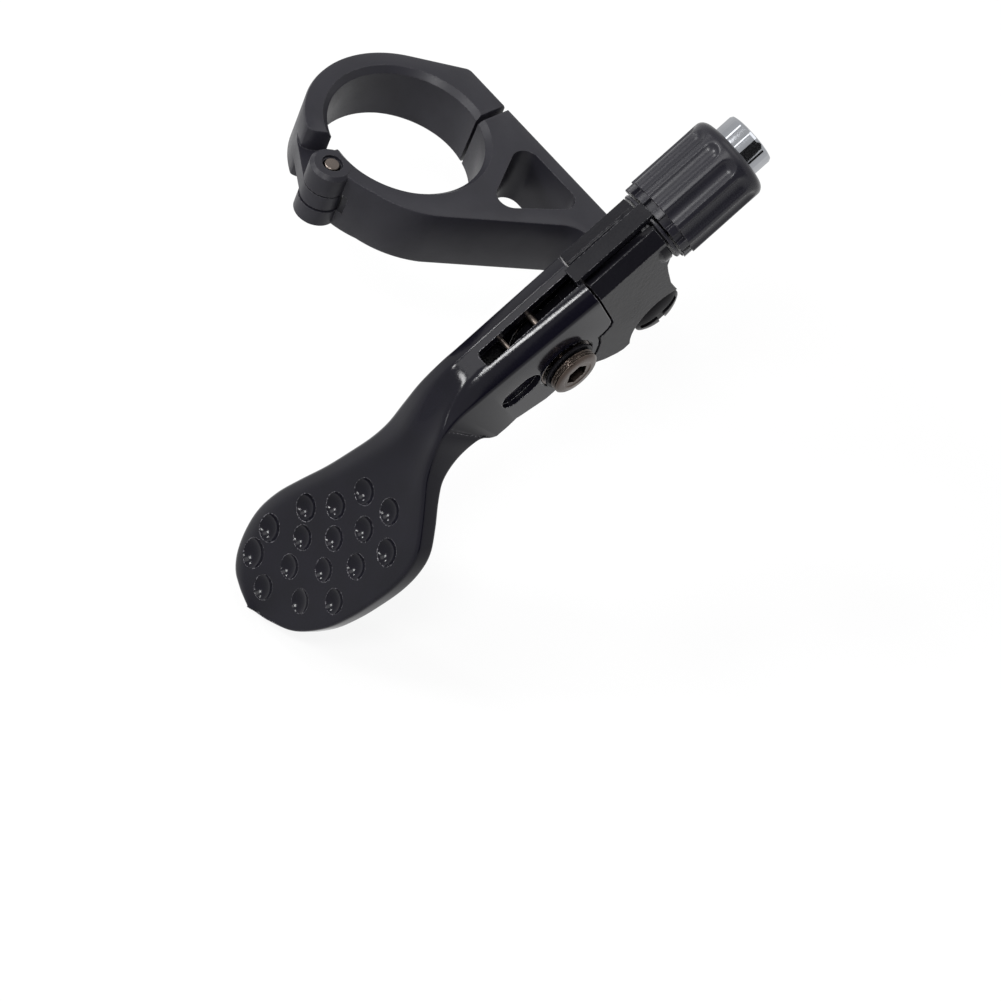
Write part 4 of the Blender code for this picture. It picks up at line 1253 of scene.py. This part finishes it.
@dataclass
class Lever(Assembly):
    """The lever: a U channel with a slotted roof, a bent neck and a dimpled paddle."""

    paddle: tuple[float, float] = (-0.0250, -0.0001)
    dimple_depth: float = 0.0012

    def axes(self) -> tuple[Vector, Vector, Vector]:
        """The paddle's along, across and up directions in the lever's frame."""
        turn = Matrix.Rotation(math.radians(32.4), 3, "X")
        along = turn @ Vector((0, -1, 0))
        across = Vector((1, 0, 0))
        up = across.cross(-along)
        roll = Matrix.Rotation(math.radians(13.2), 3, along)
        sweep = Matrix.Rotation(math.radians(8.0), 3, roll @ up)
        return sweep @ along, sweep @ roll @ across, roll @ up

    def on_paddle(self, a: float, c: float, lift: float = 0.0) -> Vector:
        """A point on the paddle's face.

        Args:
            a: How far along the paddle.
            c: How far across it.
            lift: How far above it.

        Returns:
            The point in the lever's frame.
        """
        along, across, up = self.axes()
        return Vector((0, *self.paddle)) + a * along + c * across + lift * up

    def sections(self) -> list[tuple[list[Vector], Vector, float, float]]:
        """The lever's cross-sections: four top edges, up direction, depth and softness."""
        up = Vector((0, 0, 1))
        paddle_up = self.axes()[2]
        made = []
        for b, flat in ((LEVER_END, FLAT), (-0.0020, 0.0019), (-0.0094, 0.0014), (-0.0126, 0.0013)):
            near = near_cheek(b)
            edges = [(-HALF, b, SHOULDER), (-FLAT, b, TOP)]
            edges += [(flat, b, TOP), (near, b, SHOULDER)]
            made.append(([Vector(edge) for edge in edges], up, 0.0120 + SHOULDER, 0.0))
        neck = mm((-4.4, -15.5, 2.9), (-2.4, -15.2, 4.2), (1.4, -15.2, 4.3), (3.5, -15.5, 3.16))
        made.append(([Vector(edge) for edge in neck], up.lerp(paddle_up, 0.15), 0.0142, 0.2))
        bend = mm((-5, -19.2, 1), (-2.8, -18.7, 2.6), (1.9, -18.7, 3.5), (3.38, -18.8, 3.1))
        made.append(([Vector(edge) for edge in bend], up.lerp(paddle_up, 0.35), 0.0115, 0.6))
        far_rail = mm(
            (-2, -5.6), (1.6, -6.3), (5, -7.6), (8.8, -9.6), (13.2, -12.1), (17.6, -15),
            (21.7, -17.5), (25.6, -19), (29.2, -19.3), (32.6, -18.7), (34.8, -17.3), (35.9, -15.1),
            (36.4, -13.2), (36.55, -11.8), (36.6, -11.3)
        )
        near_rail = mm(
            (-3.6, 4.3), (-0.8, 4.6), (2.2, 5.4), (4.6, 6.8), (7.8, 8.7), (10.9, 10.1), (14, 10.1),
            (17.6, 9.1), (21.7, 7.2), (25.7, 5), (29.8, 2.1), (33.7, -2.2), (35.7, -6.7),
            (36.4, -9.2), (36.6, -10.7)
        )
        for index, (far_place, near_place) in enumerate(zip(far_rail, near_rail)):
            share = index / (len(far_rail) - 1)
            far = Vector(far_place)
            near = Vector(near_place)
            inward = (near - far).normalized()
            width = (near - far).length
            drop = 0.0010 * (1 - share) + 0.0003 * share
            rise = 0.0008 * share**2
            far_face = far + inward * min(0.0042 * (1 - share) + 0.0012 * share, width * 0.35)
            near_face = near - inward * min(0.0004, width * 0.25)
            edges = [self.on_paddle(*far, rise - drop), self.on_paddle(*far_face, rise)]
            edges += [self.on_paddle(*near_face), self.on_paddle(*near, -0.0002)]
            root = max(0.0, 1 - index / 3)
            thick = 0.0029 - 0.0010 * share + 0.0040 * root**2
            made.append((edges, paddle_up, thick, 1.0))
        return made

    def loft(self) -> bpy.types.Object:
        """The lever's outer form.

        Returns:
            The uncut lever.
        """
        rings = []
        for edges, up, depth, soft in self.sections():
            far, far_face, near_face, near = edges
            up = up.normalized()
            body = 0.00025
            corners = [far, far_face, near_face, near]
            corners += [near - up * depth, far - up * depth]
            reaches = [body + 0.0007 * soft, body + 0.0007 * soft, 0.0009 - 0.0005 * soft, 0.0005]
            reaches += [body + 0.0003 * soft, body + 0.0003 * soft]
            ring = softened(corners, reaches, 4)
            first, last = ring[9:11]
            sag = up * 0.0003 * soft
            inner = [first.lerp(last, n / 8) - sag * math.sin(math.pi * n / 8) for n in range(1, 8)]
            rings.append(ring[:10] + inner + ring[10:])
        body_count = 4
        tail = rings[body_count - 1 :]
        count = 6 * (len(tail) - 1) + 1
        columns = [spline([ring[place] for ring in tail], count) for place in range(len(tail[0]))]
        smooth = rings[:body_count]
        smooth += [[column[step] for column in columns] for step in range(1, count)]
        return self.grid("lever_casting", smooth, LEVER_FRAME)

    def side(self) -> Profile:
        """What the lever keeps, seen from the side: its end, pivot boss and lower edge."""
        end = [(LEVER_END, 0.0060), (LEVER_END, -0.0044), (0.00490, -0.0052), (0.0046, -0.0058)]
        end += [(0.0041, -0.0062), (0.0033, -0.0065)]
        boss = arc(PIVOT, LEVER_BOSS, 0, -110, 40)
        heel = mm(
            (-7.8, -11.8), (-12, -10.6), (-15, -9.3), (-20.1, -7.1), (-23.5, -6.8), (-26, -30)
        )
        return end + boss + heel + [(-0.0700, -0.0300), (-0.0700, 0.0060)]

    def dimples(self) -> bpy.types.Object:
        """Cups that press the sixteen grip dimples into the paddle's face.

        Returns:
            The tool.
        """
        up = self.axes()[2]
        turn = up.to_track_quat("Z", "Y").to_matrix().to_4x4()
        depth = self.dimple_depth
        shape = bmesh.new()
        for a, c, wide in DIMPLES:
            ball = (wide**2 + depth**2) / (2 * depth)
            cup = [(0.0, OVER / 2), (wide, OVER / 2)]
            for ring in range(13):
                reach = wide * math.sin(math.radians(90 - 7.5 * ring))
                cup.append((reach, ball - depth - math.sqrt(ball**2 - reach**2)))
            centre = self.on_paddle(a, c, 0.0008 * (a / 0.0375) ** 2)
            tool = self.turned("dimple", cup, Matrix.Translation(centre) @ turn, 40)
            shape.from_mesh(tool.data)
            bpy.data.objects.remove(tool)
        mesh = bpy.data.meshes.new("dimples")
        shape.to_mesh(mesh)
        shape.free()
        return self.add("dimples", mesh, LEVER_FRAME)

    def build(self) -> None:
        """Makes the lever and the pin that guides the cable."""
        lever = self.loft()
        wide = HALF + 0.03
        self.work(lever, self.prism("lever_side", self.side(), -wide, wide, SIDE_FRAME), Cut.KEEP)
        roof = TOP - 0.0016
        reach = LEVER_END + OVER
        channel = [(reach, roof), (-0.0130, roof), (-0.0150, 0.0014), (-0.0161, -0.0012)]
        channel += [(-0.0164, -0.0200), (reach, -0.0200)]
        self.work(lever, self.prism("channel", channel, -CHANNEL, CHANNEL, SIDE_FRAME))
        side, foot = SLOT, -0.01135
        span = CHANNEL + FIT / 2
        slot = rounded(
            [(-side, foot, 0.0006), (side, foot, 0.0006), (side, reach, 0), (-side, reach, 0)]
        )
        self.work(lever, self.prism("roof_slot", slot, 0, 0.0060, LEVER_FRAME))
        self.work(lever, self.rod("bearing_seat", 0.0043, -wide, wide, PIVOT_FRAME, 100))
        radius = 0.0022
        middle = (-0.00995, -0.0038)
        oval = arc((middle[0] + 0.0010, middle[1]), radius, -90, 90)
        oval += arc((middle[0] - 0.0010, middle[1]), radius, 90, 270)
        self.work(lever, self.prism("cable_hole", oval, 0, wide, SIDE_FRAME))
        left, right, low, high, turn = -0.0136, -0.0072, -0.0092, -0.0030, 0.0004
        pad = rounded(
            [(left, low, turn), (right, low, turn), (right, high, turn), (left, high, turn)]
        )
        self.work(lever, self.prism("cable_seat", pad, OVER, span, SIDE_FRAME), Cut.JOIN)
        web = [(left, low), (right - FIT, low), (right - FIT, -0.0058), (left, -0.0058)]
        self.work(lever, self.prism("cross_web", web, -span, OVER * 1.5, SIDE_FRAME), Cut.JOIN)
        pin_frame = SIDE_FRAME @ Matrix.Translation((-0.00284, 0.0022, 0))
        pin = 0.00048
        long = 0.0033
        self.work(
            lever, self.rod("guide_pin_hole", pin + FIT, -long - FIT, long + FIT, pin_frame, 40)
        )
        self.work(lever, self.dimples())
        self.hang(lever, Body.LEVER, LEVER_BLACK, "lever", sharp=28.0)
        guide = self.turned("cable_roller", dowel(pin, -long, long, 0.0001), pin_frame, 40)
        self.hang(guide, Body.LEVER, SPRING_STEEL, "cable_guide_pin")


@dataclass
class Adjuster(Assembly):
    """The barrel adjuster: detent ring and spring, hollow screw and fluted sleeve."""

    thread: float = 0.0025
    barrel: float = 0.00385
    barrel_end: float = 0.0345
    grip: float = 0.00607
    start: float = 0.01755
    end: float = 0.0313
    flutes: int = 12
    flute: float = 0.0021
    depth: float = 0.0005

    def make_detent(self) -> None:
        """The clicking ring and its spring."""
        inner = self.thread + FIT
        seat = 0.0168
        top = seat + 0.0005
        foot = seat - 0.0036
        hub = 0.00325
        outer = 0.0052
        soft = 0.0001
        profile = [
            (outer - soft, top), (outer, top - soft), (outer, seat + soft), (outer - soft, seat)
        ]
        profile += [(hub, seat), (hub, foot), (inner, foot), (inner, top)]
        ring = self.turned("click_ring", profile, BARREL_FRAME)
        self.hang(ring, Body.DETENT, PLASTIC, "detent_ring")
        wire = 0.00025
        low = SPRING_SEAT + FIT + wire
        high = foot - FIT - wire
        points = []
        turns = 2
        for share in fractions(36 * turns):
            x, y = polar((0, 0), 0.0030, 360 * turns * share)
            points.append(Vector((x, y, low + (high - low) * share)))
        spring = self.wire("click_spring", points, wire, BARREL_FRAME)
        self.hang(spring, Body.MOUNT, SPRING_STEEL, "detent_spring")

    def make_barrel(self) -> None:
        """The hollow screw with its bright end and rolled thread."""
        soft = 0.0003
        shoulder = self.start + 0.0016
        top = self.barrel_end
        floor = top - 0.0080
        housing = 0.00255
        wide = self.barrel
        profile = [
            (wide - 1.6 * soft, top), (wide - 0.6 * soft, top - 0.4 * soft),
            (wide, top - 1.6 * soft),
        ]
        profile += [(wide, shoulder), (self.thread, shoulder)]
        pitch = 0.0005
        start = 0.0056
        turns = int((shoulder - start) / pitch) - 1
        for turn in range(turns):
            height = shoulder - FIT - turn * pitch
            profile += [(self.thread, height), (self.thread - 0.00018, height - pitch / 2)]
        profile += [
            (self.thread, start + FIT), (self.thread - FIT, start), (0.0010, start), (0.0010, floor)
        ]
        profile += [(housing, floor), (housing, top - soft), (housing + soft, top)]
        flats = 8
        apothem = wide * 0.965

        def faceted(radius: float, height: float, angle: float) -> float:
            """Flattens the bright end into facets."""
            if radius < wide - 2 * soft:
                return radius
            step = 2 * math.pi / flats
            off = (angle + step / 2) % step - step / 2
            return min(radius, apothem / math.cos(off))

        barrel = self.turned("barrel_end", profile, BARREL_FRAME, 144, faceted)
        self.hang(barrel, Body.ADJUSTER, CHROME, "barrel_screw", sharp=18.0)

    def make_sleeve(self) -> None:
        """The fluted sleeve with its toothed inner end."""
        inner = self.barrel + FIT
        floor = self.start + 0.0014
        dome = [(inner, self.end - 0.0003), (inner + 0.0003, self.end)]
        for step in range(9):
            angle = math.radians(90 - 90 * step / 8)
            wide = inner + 0.0007 + (self.grip - inner - 0.0007) * math.cos(angle)
            dome.append((wide, self.end - 0.0012 * (1 - math.sin(angle))))
        first = self.end - 0.0013
        last = self.start + 0.0013
        count = 44
        rows = [(self.grip, first + (last - first) * step / count) for step in range(count + 1)]
        rows += [(self.grip, last - 0.00003), (self.grip, self.start + FIT)]
        foot = [(self.grip - 0.0001, self.start + FIT / 2), (self.grip - 0.0004, self.start)]
        foot += [(self.thread + FIT, self.start), (self.thread + FIT, floor), (inner, floor)]
        centre = self.grip - self.depth + self.flute
        top = self.end - 0.0008
        ledge = self.start + 0.0013
        step_angle = 2 * math.pi / self.flutes

        def fluted(radius: float, height: float, angle: float) -> float:
            """Sinks the flutes and the teeth between them."""
            if radius < self.grip - 0.0012:
                return radius
            off = (angle + step_angle / 2) % step_angle - step_angle / 2
            short = max(0.0, height - top + self.flute)
            away = centre + self.flute - math.sqrt(max(0.0, self.flute**2 - short**2))
            swing = away * math.sin(off)
            if short < self.flute and abs(swing) < self.flute:
                radius = min(radius, away * math.cos(off) - math.sqrt(self.flute**2 - swing**2))
            tooth = (step_angle / 2 - abs(off)) * self.grip
            if height < ledge:
                radius = self.grip - (0.00025 if tooth < 0.00075 else 0.0009)
            return radius

        sleeve = self.turned(
            "fluted_sleeve", dome + rows + foot, BARREL_FRAME, self.flutes * 24, fluted
        )
        self.hang(sleeve, Body.ADJUSTER, PLASTIC, "grip_sleeve", sharp=40.0)

    def build(self) -> None:
        """Makes every piece of the adjuster."""
        self.make_detent()
        self.make_barrel()
        self.make_sleeve()


@dataclass
class Studio:
    """The camera, the lamps, the world and the floor.

    Attributes:
        eye: Where the camera is.
        right: Its right direction.
        up: Its up direction.
        lens: Its focal length in millimetres.
        middle: What the lamps face.
        ambient: How strongly the surround lights the part.
        glow: How much of the floor is plain white to the camera.
        floor: Half of the floor's side.
    """

    eye: tuple[float, float, float] = (0.21695, -0.31734, 0.35533)
    right: tuple[float, float, float] = (0.6301, 0.7182, 0.2953)
    up: tuple[float, float, float] = (-0.7000, 0.3607, 0.6163)
    lens: float = 138.35
    middle: tuple[float, float, float] = (0.026, -0.006, 0.006)
    ambient: float = 0.45
    glow: float = 0.86
    floor: float = 4.0

    def make_camera(self) -> None:
        """Sets the camera at the photograph's place."""
        data = bpy.data.cameras.new("camera")
        data.lens = self.lens
        data.sensor_width = 36.0
        data.clip_start = 0.01
        data.clip_end = 10.0
        camera = linked("camera", data)
        right = Vector(self.right).normalized()
        up = Vector(self.up)
        up = (up - up.project(right)).normalized()
        camera.matrix_world = axes_frame(Vector(self.eye), right, up)
        bpy.context.scene.camera = camera

    def turn(self, thing: bpy.types.Object, place: Vector, direction: Vector) -> None:
        """Stands a lamp or a card at its place, facing the part.

        Args:
            thing: The lamp or the card.
            place: Where it stands.
            direction: Its direction, seen from the part.
        """
        thing.location = place
        thing.rotation_mode = "QUATERNION"
        thing.rotation_quaternion = direction.to_track_quat("Z", "Y")

    def make_lamp(
        self, name: str, direction: Vector, distance: float, size: tuple[float, float], power: float
    ) -> None:
        """A soft box that faces the part.

        Args:
            name: The lamp's name.
            direction: Where it stands, seen from the part.
            distance: How far away it is.
            size: Its width and height.
            power: Its power in watts.
        """
        data = bpy.data.lights.new(name, "AREA")
        data.shape = "RECTANGLE"
        data.size, data.size_y = size
        data.energy = power
        middle = Vector(self.middle)
        self.turn(linked(name, data), middle + direction.normalized() * distance, direction)

    def make_plane(
        self, name: str, half: float, height: float, material: bpy.types.Material
    ) -> bpy.types.Object:
        """A level square that belongs to the studio.

        Args:
            name: The square's name.
            half: Half of its side.
            height: Its height.
            material: Its material.

        Returns:
            The square.
        """
        mesh = bpy.data.meshes.new(name)
        corners = [
            (-half, -half, height), (half, -half, height), (half, half, height),
            (-half, half, height),
        ]
        mesh.from_pydata(corners, [], [(0, 1, 2, 3)])
        mesh.materials.append(material)
        plane = linked(name, mesh)
        return plane

    def make_card(self, direction: Vector, distance: float, half: float) -> None:
        """A dark card beside the lamps, which only glossy faces show.

        Args:
            direction: Where it stands, seen from the part.
            distance: How far away it is.
            half: Half of its side.
        """
        graph = Graph(bpy.data.materials.new("dark_card"))
        graph.feed("Base Color", (0.01, 0.01, 0.01))
        graph.feed("Roughness", 0.9)
        card = self.make_plane("card", half, 0, graph.owner)
        self.turn(card, direction.normalized() * distance, direction)
        card.visible_camera = False
        card.visible_diffuse = False
        card.visible_shadow = False

    def make_world(self) -> None:
        """A white surround, which lights the part less brightly than it looks."""
        world = bpy.data.worlds.new("surround")
        bpy.context.scene.world = world
        graph = Graph(world, "Background")
        graph.feed("Color", (1.0, 1.0, 1.0))
        graph.feed("Strength", graph.ramp(graph.sight(), 0.0, 1.0, self.ambient, 1.0))

    def make_floor(self, height: float) -> None:
        """A plain white floor that keeps the part's shadow.

        Args:
            height: Where the floor lies.
        """
        graph = Graph(bpy.data.materials.new("white_floor"))
        graph.feed("Base Color", (0.90, 0.90, 0.90))
        graph.feed("Roughness", 0.9)
        glow = graph.node("Emission", {"Color": (1.0, 1.0, 1.0), "Strength": 1.0}).outputs[0]
        share = graph.math("MULTIPLY", graph.sight(), self.glow)
        mixed = graph.node("MixShader", {0: share, 1: graph.shader.outputs[0], 2: glow}).outputs[0]
        graph.plug(graph.tree.nodes["Material Output"].inputs["Surface"], mixed)
        self.make_plane("floor", self.floor, height, graph.owner)

    def build(self, lowest: float) -> None:
        """Sets up the studio.

        Args:
            lowest: The part's lowest point.
        """
        bpy.context.scene.view_settings.view_transform = "Standard"
        self.make_camera()
        self.make_world()
        self.make_floor(lowest - 0.0005)
        self.make_lamp("overhead_box", Vector((0.05, 0.38, 0.92)), 0.55, (0.40, 0.40), 1.0)
        self.make_lamp("front_box", Vector((-0.37, -0.53, 0.77)), 0.60, (0.24, 0.24), 0.6)
        self.make_lamp("streak_lamp", Vector((0.20, -0.60, 0.78)), 0.60, (0.14, 0.05), 1.5)
        self.make_lamp("rim_lamp", Vector((-0.81, -0.35, 0.46)), 0.60, (0.06, 0.05), 0.7)
        self.make_lamp("neck_lamp", Vector((-0.455, -0.744, 0.49)), 0.60, (0.12, 0.10), 1.5)
        self.make_card(Vector((0.90, -0.20, 0.42)), 0.50, 0.16)


def main() -> None:
    """Builds the sub-assemblies in order, then the studio."""
    logging.basicConfig(level=logging.INFO, format="%(name)s: %(message)s")
    for assembly in (Clamp(), Base(), Pivot(), Lever(), Adjuster()):
        assembly.build()
        LOG.info("%s is built", type(assembly).__name__)
    Studio().build(CAD_BOX[0].z)


if __name__ == "__main__":
    main()
